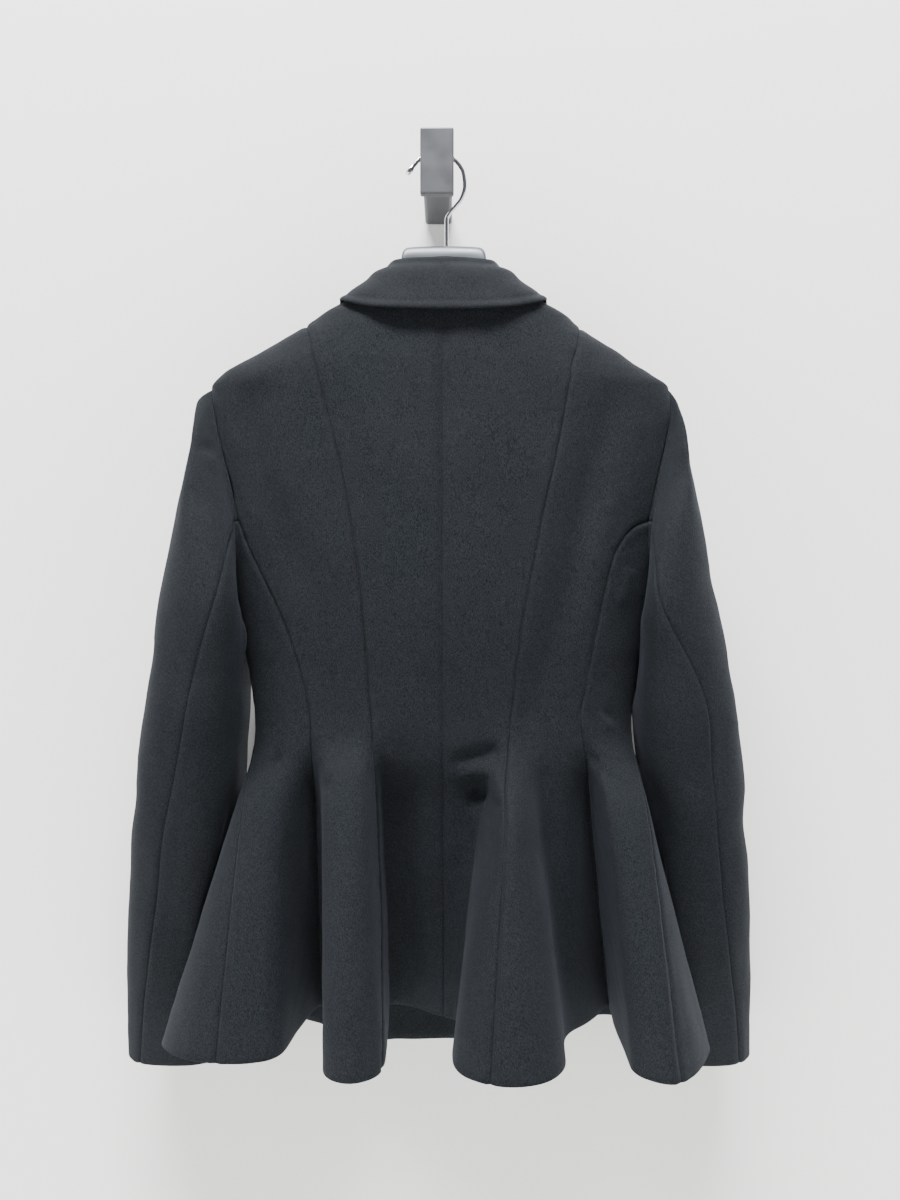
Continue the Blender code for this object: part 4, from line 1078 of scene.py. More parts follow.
@dataclass(frozen=True)
class Sleeves:
    """Two-piece sleeves, sewn into the armholes over a small roll of cloth."""

    form: BodyForm
    wool: bpy.types.Material
    creases: tuple[Crease, ...] = ()
    squareness: float = 0.82
    step: float = 4.0
    cloth: float = 1.5

    def reach(self, side: int, y: float, height: float) -> float:
        """How far the body reaches sideways at a depth and height.

        Args:
            side: 1 for the wearer's right, -1 for the left.
            y: Depth in millimetres.
            height: Level in millimetres.

        Returns:
            The distance from the centre line.
        """
        points = self.form.point(side * np.linspace(30.0, 170.0, 120), height)
        xs = np.abs(points[:, 0])
        ys = points[:, 1]
        best = 0.0
        for level in (y - SLEEVE_CLEARANCE, y, y + SLEEVE_CLEARANCE):
            crossing = (ys[:-1] - level) * (ys[1:] - level) <= 0.0
            if crossing.any():
                best = max(best, float(np.maximum(xs[:-1], xs[1:])[crossing].max()))
        return best

    def tube(self, station: float, height: float, side: int) -> Array:
        """Point of the sleeve as a plain tube.

        Args:
            station: Place round the sleeve in degrees.
            height: Level in millimetres.
            side: 1 for the wearer's right, -1 for the left.

        Returns:
            The point in millimetres.
        """
        outer = float(follow(SLEEVE_WIDTHS[side], height, 1))
        inner = float(follow(SLEEVE_WIDTHS[side], height, 2))
        depth = float(follow(SLEEVE_DEPTHS, height, 1))
        middle = float(follow(SLEEVE_DEPTHS, height, 2))
        lean = float(follow(SLEEVE_LEAN[side], height))
        c = math.cos(math.radians(station))
        s = math.sin(math.radians(station))
        x = 0.5 * (outer + inner) + 0.5 * (outer - inner) * math.copysign(abs(c) ** self.squareness, c)
        y = middle - depth * math.copysign(abs(s) ** self.squareness, s)
        x -= lean * max(0.0, (middle - y) / depth) * (1.0 if c < 0.0 else 1.0 - c)
        return np.array([side * x, y, height])

    def point(self, station: float, share: float, start: Array, side: int) -> Array:
        """Point of the sleeve between the armhole and the cuff.

        Args:
            station: Place round the sleeve in degrees.
            share: Share of the way to the cuff.
            start: Where the cloth leaves the armhole.
            side: 1 for the wearer's right, -1 for the left.

        Returns:
            The point in millimetres, clear of the body.
        """
        height = start[2] + share * (CUFF_Z - start[2])
        c = math.cos(math.radians(station))
        head = (SLEEVE_FADE - SLEEVE_HEAD_REACH[side]) * max(0.0, c) ** 2
        reach = SLEEVE_FADE - head - UNDERARM_FADE * max(0.0, -c) ** 2
        away = max(0.0, 1.0 - (start[2] - height) / reach) ** 2
        point = self.tube(station, height, side) + away * (start - self.tube(station, start[2], side))
        least = self.reach(side, point[1], height) + SLEEVE_CLEARANCE + 1.5 * ease((point[1] - 8.0) / 12.0)
        if abs(point[0]) < least and start[2] - height > 0.5:
            point[0] = side * least
        return point

    def ring(self, share: float, upper: list[float], under: list[float], side: int) -> list[float]:
        """Stations round the sleeve at one level, between its two seams.

        Args:
            share: Share of the way to the cuff.
            upper: Shares across the upper sleeve.
            under: Shares across the under sleeve.
            side: 1 for the wearer's right, -1 for the left.

        Returns:
            Degrees round the sleeve, the under sleeve first.
        """
        hind = float(follow(HINDARM[side], share))
        fore = float(follow(FOREARM, share))
        stations = [hind + (fore - hind) * u for u in under]
        return stations + [fore + (hind + 360.0 - fore) * u for u in upper[1:-1]]

    def grid(self, side: int) -> tuple[Array, int]:
        """Points of a whole sleeve, and the column of its front seam.

        Args:
            side: 1 for the wearer's right, -1 for the left.

        Returns:
            Rows of points from armhole to cuff, and the seam's column.
        """
        low = list(np.linspace(ARMHOLE_BACK[-1], 180.0, SIDE_COLUMNS)) + [200.0, 222.0, 245.0]
        high = [245.0, 270.0, 300.0, 330.0] + [360.0 + s for s in ARMHOLE_BACK]
        under = [(s - low[0]) / (low[-1] - low[0]) for s in low]
        upper = [(s - high[0]) / (high[-1] - high[0]) for s in high]
        stations = low + high[1:-1]
        count = len(stations)
        seam = np.array([self.form.armhole(s % 360.0, side) for s in stations])
        edge = self.form.point(seam[:, 0], seam[:, 1])
        facing = self.form.normal(seam[:, 0], seam[:, 1])
        along = unit(np.roll(edge, -1, axis=0) - np.roll(edge, 1, axis=0))
        away = unit(np.cross(facing, along))
        away *= np.sign(np.sum(away * (edge.mean(axis=0) - edge), axis=1, keepdims=True))
        rows = [np.zeros((count, 3)) for _ in range(4)]
        starts = np.zeros((count, 3))
        for j, station in enumerate(stations):
            aim = self.point(station % 360.0, 0.012, edge[j], side) - edge[j]
            aim -= np.dot(aim, along[j]) * along[j]
            turn = math.atan2(np.dot(aim, facing[j]), np.dot(aim, away[j])) % (2.0 * math.pi)
            turn = min(turn, math.pi)
            base = edge[j] + SEAM_GAP * away[j]
            for k in range(4):
                a = turn * k / 3.0
                rows[k][j] = base + SLEEVE_ROLL * ((1.0 - math.cos(a)) * facing[j] + math.sin(a) * away[j])
            starts[j] = rows[3][j]
        for share in SLEEVE_STEPS:
            ring = self.ring(share, upper, under, side)
            rows.append(np.array([self.point(ring[j] % 360.0, share, starts[j], side) for j in range(count)]))
        return np.array(rows), len(low) - 1

    def build(self) -> None:
        """Make the upper and under sleeve of each arm."""
        for side, word in ((1, "right"), (-1, "left")):
            coarse, front = self.grid(side)
            points, _ = spline(coarse, self.step)
            points, places = spline(points.transpose(1, 0, 2), self.step, ring=True)
            points = points.transpose(1, 0, 2)
            normals = grid_normals(points, ring=True)
            outward = points - points.mean(axis=1, keepdims=True)
            outward[..., 2] = 0.0
            middle = len(points) // 2
            normals *= np.sign(np.sum(normals[middle:] * outward[middle:]))
            cut = places[front]
            self.half("under_sleeve_" + word, points[:, :cut + 1], normals[:, :cut + 1], side)
            self.half("upper_sleeve_" + word, points[:, cut:], normals[:, cut:], side)

    def half(self, name: str, points: Array, normals: Array, side: int) -> None:
        """Dress one cut piece of a sleeve and put it in its place.

        Args:
            name: The solid that it stands for.
            points: Its grid of points.
            normals: Outward directions.
            side: 1 for the wearer's right, -1 for the left.
        """
        off = seam_distance(points)
        drop = np.linalg.norm(np.diff(points, axis=0), axis=-1)
        down = np.concatenate([np.zeros((1, points.shape[1])), np.cumsum(drop, axis=0)], axis=0)
        fresh = ease((down - 5.0) / 14.0)
        lift = (ripple(points, 0.5, 88.0, 0.9 + side) + ripple(points, 0.12, 27.0, 3.1)) * fresh
        lift += pressed_seam(off, 0.7, 1.6) * fresh
        lift += 0.25 * ease((points[..., 2] - CUFF_Z - CUFF_TURNED) / -6.0) * fresh
        for crease in self.creases:
            if crease.path[0][0] * side > 0.0 or crease.face in (Face.LEFT, Face.RIGHT):
                lift = lift + crease.lift(points, normals) * fresh
        lay_cloth(name, points + normals * lift[..., None], normals, self.wool, self.cloth)


@dataclass(frozen=True)
class Lapels:
    """Lapels turned over the front edges along the roll line."""

    form: BodyForm
    wool: bpy.types.Material
    step: float = 3.0

    def build(self) -> None:
        """Make both lapels."""
        for side, word in ((1, "right"), (-1, "left")):
            rows = [self.row(share, side) for share in np.linspace(0.0, 1.0, LAPEL_ROWS)]
            points, _ = spline(np.array(rows), self.step)
            points, _ = spline(points.transpose(1, 0, 2), 1.5)
            points = points.transpose(1, 0, 2)
            normals = grid_normals(points)
            last = normals[:, -1]
            normals *= np.sign(np.sum(last * self.form.normal(side * 150.0, -150.0)))
            piece = shell("cloth_lapel_" + word, points, normals, 0.9, 0.9)
            put_in_scene(piece, self.wool, ("lapel_" + word,))

    def row(self, share: float, side: int) -> list[Array]:
        """Points across a lapel at a share of the roll line.

        Args:
            share: Share of the roll line, from its top.
            side: 1 for the wearer's right, -1 for the left.

        Returns:
            The points from the inside round to the face.
        """
        form = self.form
        z = LAPEL_TOP_Z + share * (LAPEL_END_Z[side] - LAPEL_TOP_Z)
        angle = form.roll_angle(z, side)
        face = form.front(angle, z, side)
        below = form.front(form.roll_angle(z - 2.0, side), z - 2.0, side)
        above = form.front(form.roll_angle(z + 2.0, side), z + 2.0, side)
        normal = form.normal(angle, z)
        away = unit(np.cross(normal, above - below))
        away *= -np.sign(np.dot(away, form.front(angle - side * 3.0, z, side) - face))
        row = []
        for turn in (0.0, 45.0, 90.0, 135.0, 180.0):
            a = math.radians(turn)
            radial = math.sin(a) * away - math.cos(a) * normal
            row.append(face + LAPEL_GAP * away + normal * (ROLL_RADIUS - 1.0) + ROLL_RADIUS * radial)
        edge_x = float(follow(LAPEL_EDGE, share, 1))
        edge_z = float(follow(LAPEL_EDGE, share, 2))
        if side > 0:
            edge_x -= 18.0 * max(0.0, share - 0.85) / 0.15
            edge_z -= 34.0 * max(0.0, share - 0.85) / 0.15
        else:
            edge_x += 6.0 * share
            edge_z = -60.0 + LEFT_LAPEL_SHARE * (edge_z + 60.0)
        start_x = form.roll_x(z)
        for part in LAPEL_COLUMNS:
            x = start_x + part * (edge_x - start_x)
            height = z + part * (edge_z - z)
            spot = side * (180.0 - math.copysign(180.0 - abs(form.angle_at(abs(x), height, True)), x))
            row.append(form.front(spot, height, side, 2.0 * ROLL_RADIUS - 1.0))
        return row


@dataclass(frozen=True)
class Collar:
    """Collar stand on the neck seam, and the leaf that falls from its fold."""

    form: BodyForm
    wool: bpy.types.Material
    table: Table = COLLAR
    radius: float = 2.4
    step: float = 2.4

    def row(self, share: float) -> tuple[Array, Array, Array, Array]:
        """Neck seam, its normal, fold point and leaf edge at a share, for either side.

        Args:
            share: Share of the way from the nape to the front, below 0 on the left.

        Returns:
            The four places and directions.
        """
        size = abs(share)
        flip = np.array([1.0 if share >= 0.0 else -1.0, 1.0, 1.0])
        if size <= NECK_SHARE:
            angle = 90.0 * size / NECK_SHARE
            z = neck_height(angle)
        else:
            z = ROLL_TOP_Z - 42.0 * (size - NECK_SHARE) / (1.0 - NECK_SHARE)
            angle = self.form.roll_angle(z, 1)
        fold = np.array([float(follow([(r[0], r[1][k]) for r in self.table], size)) for k in range(3)])
        edge = np.array([float(follow([(r[0], r[2][k]) for r in self.table], size)) for k in range(3)])
        return self.form.point(angle, z) * flip, self.form.normal(angle, z) * flip, fold * flip, edge * flip

    def clear_of_neck(self, points: Array) -> Array:
        """Points moved level outward until they stand clear of the shoulders.

        Args:
            points: Points of the leaf in millimetres.

        Returns:
            The moved points.
        """
        level = points[..., 2]
        half = follow(SECTIONS, level, 1) + COLLAR_CLEARANCE - 1.2 * ease((level - 4.0) / 10.0)
        back = follow(SECTIONS, level, 2)
        front = follow(SECTIONS, level, 3)
        depth = 0.5 * (front - back) + COLLAR_CLEARANCE
        middle = 0.5 * (front + back)
        power = follow(SECTIONS, level, 4)
        place = (np.abs(points[..., 0]) / half) ** power + (np.abs(points[..., 1] - middle) / depth) ** power
        scale = np.maximum(1.0, np.maximum(place, 1e-6) ** (-1.0 / power))
        moved = points.copy()
        moved[..., 0] *= scale
        moved[..., 1] = middle + (moved[..., 1] - middle) * scale
        return moved

    def build(self) -> None:
        """Make the stand and the leaf."""
        half = np.array(COLLAR_SHARES)
        rows = [self.row(s) for s in np.concatenate([-half[:0:-1], half])]
        seams, facing, folds, edges = (np.array([r[k] for r in rows]) for k in range(4))
        up = unit(np.cross(unit(np.gradient(seams, axis=0)), facing))
        up *= np.sign(np.sum(up * (folds - seams), axis=1, keepdims=True))
        out = unit((edges - seams) * np.array([1.0, 1.0, 0.0]))
        foot = seams - facing + 0.7 * up
        centre = folds - np.array([0.0, 0.0, self.radius])
        head = centre - out * self.radius
        stand = np.array([foot, foot + 0.5 * up, 0.6 * foot + 0.4 * head, 0.25 * foot + 0.75 * head,
                          head - np.array([0.0, 0.0, 0.3])])
        self.piece("collar_stand", stand, out)
        leaf = []
        for turn in (0.0, 60.0, 120.0, 180.0):
            a = math.radians(turn)
            leaf.append(centre + self.radius * (-math.cos(a) * out + np.array([0.0, 0.0, math.sin(a)])))
        side = centre + self.radius * out
        for part in (0.2, 0.45, 0.7, 0.88, 1.0):
            bow = 4.0 * part * (1.0 - part)
            leaf.append(side + part * (edges - side) + bow * (0.6 * out + np.array([0.0, 0.0, 1.2])))
        points = np.array(leaf)
        points[4:] = self.clear_of_neck(points[4:])
        self.piece("collar_leaf", points, out)

    def piece(self, name: str, coarse: Array, out: Array) -> None:
        """Make a collar piece from its rows, foot to edge.

        Args:
            name: The solid that it stands for.
            coarse: Its rows of points.
            out: Level directions away from the neck.
        """
        points, _ = spline(coarse, self.step)
        points, _ = spline(points.transpose(1, 0, 2), self.step)
        normals = grid_normals(points)
        middle = points.shape[0] // 2
        normals *= np.sign(np.dot(normals[middle, -3], out[len(out) // 2] + np.array([0.0, 0.0, 0.3])))
        if name == "collar_leaf":
            off = np.linalg.norm(points - points[:, -1:], axis=-1)
            ends = np.minimum(np.linalg.norm(points - points[:1], axis=-1),
                              np.linalg.norm(points - points[-1:], axis=-1))
            off = np.minimum(off, ends)
            lift = 0.5 * np.exp(-((off - 2.5) / 2.5) ** 2) - 0.5 * np.exp(-((off - 7.5) / 2.2) ** 2)
            points = points + normals * (lift + ripple(points, 0.3, 60.0, 0.4))[..., None]
        piece = shell("cloth_" + name, points, normals, 1.0, 1.0)
        put_in_scene(piece, self.wool, (name,))


@dataclass(frozen=True)
class Hanger:
    """Moulded hanger body with its bent wire hook."""

    plastic: bpy.types.Material
    chrome: bpy.types.Material
    rows: Table = HANGER
    wire: Table = WIRE
    ring: int = 40

    def build(self) -> None:
        """Make the body and the hook."""
        table = finer(np.array(self.rows), 5)
        turn = np.linspace(0.0, 2.0 * math.pi, self.ring, endpoint=False)
        c = np.sign(np.cos(turn)) * np.abs(np.cos(turn)) ** 0.75
        s = np.sign(np.sin(turn)) * np.abs(np.sin(turn)) ** 0.75
        x, top, bottom, depth, middle = (table[:, k][:, None] for k in range(5))
        rise = 0.5 * (top + bottom) + 0.5 * (top - bottom) * s
        rings = np.stack([x + 0.0 * c, middle + depth * c, rise], axis=-1)
        moulding = turned_solid("hanger_moulding", rings, True)
        put_in_scene(moulding, self.plastic, ("hanger_body",))
        self.hook()

    def hook(self) -> None:
        """Bend the wire hook, with its small rounded tip."""
        order = [(float(k), row[0], row[1], row[2]) for k, row in enumerate(self.wire)]
        steps = np.linspace(0.0, len(self.wire) - 1.0, 6 * len(self.wire) - 5)
        line = [np.array([float(follow(order, at, 1)), 0.0, float(follow(order, at, 2))]) for at in steps]
        swell = [float(follow(order, at, 3)) for at in steps]
        hook = round_wire("wire_hook", line, WIRE_RADIUS, 6, swell)
        put_in_scene(hook, self.chrome, ("hanger_hook",))


@dataclass(frozen=True)
class Closure:
    """The button, closed over the right front, and the worked hole that it passes through."""

    form: BodyForm
    horn: bpy.types.Material
    thread: bpy.types.Material
    height: float = BUTTON_Z
    sides: int = 64
    thread_place: float = 1.7
    profile: Table = ((0.0, 2.7), (2.2, 2.7), (5.4, 2.9), (6.4, 3.5), (7.6, 4.2), (8.9, 4.2), (9.7, 3.6),
                      (10.0, 2.8), (9.7, 1.5), (8.4, 0.2), (0.0, 0.1))
    keyhole: Table = ((6.0, 1.3), (-10.0, 1.3), (-12.5, 2.2), (-14.6, 0.0), (-12.5, -2.2), (-10.0, -1.3),
                      (6.0, -1.3))

    def seat(self) -> tuple[Array, Array]:
        """Centre and outward direction of the button's place."""
        facing = self.form.normal(180.0, self.height)
        return self.form.point(180.0, self.height) + 0.5 * facing, facing

    def build(self) -> None:
        """Make the button with four holes, its thread, and the buttonhole."""
        centre, facing = self.seat()
        side = np.array([1.0, 0.0, 0.0])
        up = np.cross(side, facing)
        up *= np.sign(up[2])
        rings = []
        for radius, rise in self.profile:
            turns = [2.0 * math.pi * k / self.sides for k in range(self.sides)]
            rings.append([centre + radius * (math.cos(turn) * side + math.sin(turn) * up) + rise * facing
                          for turn in turns])
        put_in_scene(turned_solid("horn_button", np.array(rings), False), self.horn, ("button",))
        for k, across in enumerate((-self.thread_place, self.thread_place)):
            ends = [centre + across * side + rise * up + 2.6 * facing
                    for rise in (self.thread_place, -self.thread_place)]
            middle = 0.5 * (ends[0] + ends[1]) + 0.8 * facing
            self.stitch(f"button_thread_{k}", [ends[0], middle, ends[1]], 0.45)
        self.stitch("worked_buttonhole", self.hole_line(up, facing), 0.5)

    def hole_line(self, up: Array, facing: Array) -> list[Array]:
        """Keyhole outline of the buttonhole, from the button toward the wearer's right.

        Args:
            up: Direction up the front.
            facing: Direction out of the front.

        Returns:
            The points of the line.
        """
        line = []
        for x, z in self.keyhole:
            turn = self.form.angle_at(abs(x), self.height, True)
            spot = 180.0 - math.copysign(180.0 - turn, -x)
            line.append(self.form.point(spot, self.height) + z * up + 0.3 * facing)
        return line

    def stitch(self, name: str, line: list[Array], radius: float) -> None:
        """A raised thread along a line of points.

        Args:
            name: Name of the piece.
            line: Points in garment millimetres.
            radius: Half the thread's thickness in millimetres.
        """
        thread = round_wire(name, line, radius, 3, [1.0] * len(line))
        put_in_scene(thread, self.thread, ())


def set_inputs(node: bpy.types.Node, values: dict) -> bpy.types.Node:
    """Set the values of a node's inputs, by name or number.

    Args:
        node: The node.
        values: Input and value pairs.

    Returns:
        The same node.
    """
    for key, value in values.items():
        node.inputs[key].default_value = value
    return node


def add_node(tree: bpy.types.NodeTree, kind: str, values: dict, operation: str = "") -> bpy.types.Node:
    """Add a node to a tree.

    Args:
        tree: The node tree.
        kind: The end of its type's name.
        values: Input and value pairs.
        operation: What a node of mathematics does.

    Returns:
        The new node.
    """
    made = tree.nodes.new("ShaderNode" + kind)
    if operation:
        made.operation = operation
    return set_inputs(made, values)


def start_finish(name: str, wear: bpy.types.NodeTree, cloud_size: float, tones: tuple, rough: tuple,
                 bump: tuple) -> tuple:
    """What every finish shares: two tones, a roughness that varies, and a fine bump.

    Args:
        name: Name of the material.
        wear: The node group of a handled surface.
        cloud_size: How fine its clouds are.
        tones: Darker and lighter colour.
        rough: Least and greatest roughness.
        bump: Strength of the bump, and its height in metres.

    Returns:
        The material, its place and cloud nodes, the tone node and the bump node.
    """
    made = bpy.data.materials.new(name)
    made.use_nodes = True
    tree = made.node_tree
    link = tree.links.new
    shader = tree.nodes["Principled BSDF"]
    place = add_node(tree, "TexCoord", {})
    cloud = tree.nodes.new("ShaderNodeGroup")
    cloud.node_tree = wear
    cloud.inputs["Size"].default_value = cloud_size
    link(place.outputs["Object"], cloud.inputs["Place"])
    tone = tree.nodes.new("ShaderNodeMix")
    tone.data_type = "RGBA"
    set_inputs(tone, {"A": (*tones[0], 1.0), "B": (*tones[1], 1.0)})
    link(tone.outputs["Result"], shader.inputs["Base Color"])
    spread = add_node(tree, "MapRange", {"To Min": rough[0], "To Max": rough[1]})
    link(cloud.outputs["Mask"], spread.inputs["Value"])
    link(spread.outputs["Result"], shader.inputs["Roughness"])
    raised = add_node(tree, "Bump", {"Strength": bump[0], "Distance": bump[1]})
    link(raised.outputs["Normal"], shader.inputs["Normal"])
    return made, place, cloud, tone, raised


class Grain:
    """Shader node groups that more than one finish uses."""

    @staticmethod
    def sockets(group: bpy.types.NodeTree, inputs: tuple, outputs: tuple) -> tuple:
        """Give a group its sockets and return its input and output nodes.

        Args:
            group: The shader node group.
            inputs: Name, socket type and value of each input.
            outputs: Name and socket type of each output.

        Returns:
            The input node and the output node.
        """
        for name, kind, value in inputs:
            socket = group.interface.new_socket(name, in_out="INPUT", socket_type=kind)
            if value is not None:
                socket.default_value = value
        for name, kind in outputs:
            group.interface.new_socket(name, in_out="OUTPUT", socket_type=kind)
        return group.nodes.new("NodeGroupInput"), group.nodes.new("NodeGroupOutput")

    @classmethod
    def twill(cls) -> bpy.types.NodeTree:
        """Fine diagonal twill with uneven yarns: a height and a shade mask.

        Returns:
            The node group.
        """
        group = bpy.data.node_groups.new("twill_weave", "ShaderNodeTree")
        start, end = cls.sockets(
            group,
            (("Place", "NodeSocketVector", None), ("Lines", "NodeSocketFloat", 1500.0),
             ("Slub", "NodeSocketFloat", 0.4)),
            (("Height", "NodeSocketFloat"), ("Shade", "NodeSocketFloat")),
        )
        link = group.links.new
        run = add_node(group, "VectorMath", {1: (0.8, 0.6, 1.0)}, "DOT_PRODUCT")
        link(start.outputs["Place"], run.inputs[0])
        scaled = add_node(group, "Math", {}, "MULTIPLY")
        link(run.outputs["Value"], scaled.inputs[0])
        link(start.outputs["Lines"], scaled.inputs[1])
        noise = add_node(group, "TexNoise", {"Scale": 900.0, "Detail": 2.0})
        link(start.outputs["Place"], noise.inputs["Vector"])
        uneven = add_node(group, "Math", {}, "MULTIPLY_ADD")
        link(noise.outputs["Fac"], uneven.inputs[0])
        link(start.outputs["Slub"], uneven.inputs[1])
        link(scaled.outputs[0], uneven.inputs[2])
        turns = add_node(group, "Math", {1: 2.0 * math.pi}, "MULTIPLY")
        link(uneven.outputs[0], turns.inputs[0])
        wave = add_node(group, "Math", {}, "SINE")
        link(turns.outputs[0], wave.inputs[0])
        link(wave.outputs[0], end.inputs["Height"])
        drawn = add_node(group, "VectorMath", {1: (1.0, 1.0, 0.5)}, "MULTIPLY")
        link(start.outputs["Place"], drawn.inputs[0])
        fleck = add_node(group, "TexNoise", {"Scale": 1250.0, "Detail": 3.0, "Roughness": 0.5})
        link(drawn.outputs["Vector"], fleck.inputs["Vector"])
        spread = add_node(group, "MapRange", {"From Min": 0.35, "From Max": 0.68})
        link(fleck.outputs["Fac"], spread.inputs["Value"])
        shade = add_node(group, "Math", {1: 0.12}, "MULTIPLY_ADD")
        link(wave.outputs[0], shade.inputs[0])
        link(spread.outputs["Result"], shade.inputs[2])
        link(shade.outputs[0], end.inputs["Shade"])
        return group

    @classmethod
    def wear(cls) -> bpy.types.NodeTree:
        """Soft cloudy change over a surface, as from handling: a mask from 0 to 1.

        Returns:
            The node group.
        """
        group = bpy.data.node_groups.new("handled_surface", "ShaderNodeTree")
        start, end = cls.sockets(
            group,
            (("Place", "NodeSocketVector", None), ("Size", "NodeSocketFloat", 30.0)),
            (("Mask", "NodeSocketFloat"), ("Height", "NodeSocketFloat")),
        )
        link = group.links.new
        cloud = add_node(group, "TexNoise", {"Detail": 4.0})
        link(start.outputs["Place"], cloud.inputs["Vector"])
        link(start.outputs["Size"], cloud.inputs["Scale"])
        ramp = add_node(group, "MapRange", {"From Min": 0.35, "From Max": 0.65})
        link(cloud.outputs["Fac"], ramp.inputs["Value"])
        link(ramp.outputs["Result"], end.inputs["Mask"])
        fine = add_node(group, "TexNoise", {"Scale": 1400.0})
        link(start.outputs["Place"], fine.inputs["Vector"])
        link(fine.outputs["Fac"], end.inputs["Height"])
        return group


@dataclass(frozen=True)
class WoolFinish:
    """Fine dark wool twill with a slight nap."""

    name: str = "wool_twill"
    dark: tuple[float, float, float] = (0.0022, 0.0028, 0.0036)
    light: tuple[float, float, float] = (0.0132, 0.0157, 0.0190)
    roughness: float = 0.84
    sheen: float = 0.03
    weave_depth: float = 0.00012

    def material(self, twill: bpy.types.NodeTree, wear: bpy.types.NodeTree) -> bpy.types.Material:
        """The node material of the cloth.

        Args:
            twill: The weave group.
            wear: The handled-surface group.

        Returns:
            The material.
        """
        made, place, _, tone, raised = start_finish(
            self.name, wear, 9.0, (self.dark, self.light), (self.roughness - 0.05, self.roughness + 0.05),
            (0.5, self.weave_depth))
        tree = made.node_tree
        weave = tree.nodes.new("ShaderNodeGroup")
        weave.node_tree = twill
        tree.links.new(place.outputs["Object"], weave.inputs["Place"])
        tree.links.new(weave.outputs["Shade"], tone.inputs["Factor"])
        tree.links.new(weave.outputs["Height"], raised.inputs["Height"])
        set_inputs(tree.nodes["Principled BSDF"], {
            "Sheen Weight": self.sheen,
            "Sheen Roughness": 0.45,
            "Sheen Tint": (0.75, 0.82, 1.0, 1.0),
            "Specular IOR Level": 0.1,
        })
        return made


@dataclass(frozen=True)
class HardFinish:
    """A plastic or metal finish with a handled surface."""

    name: str
    dark: tuple[float, float, float]
    light: tuple[float, float, float]
    roughness: float
    metallic: float = 0.0
    coat: float = 0.0
    grain: float = 0.00003

    def material(self, wear: bpy.types.NodeTree) -> bpy.types.Material:
        """The node material of the finish.

        Args:
            wear: The node group of a handled surface.

        Returns:
            The material.
        """
        made, _, cloud, tone, raised = start_finish(
            self.name, wear, 45.0, (self.dark, self.light), (self.roughness - 0.04, self.roughness + 0.05),
            (0.3, self.grain))
        tree = made.node_tree
        tree.links.new(cloud.outputs["Mask"], tone.inputs["Factor"])
        tree.links.new(cloud.outputs["Height"], raised.inputs["Height"])
        set_inputs(tree.nodes["Principled BSDF"], {"Metallic": self.metallic, "Coat Weight": self.coat})
        return made


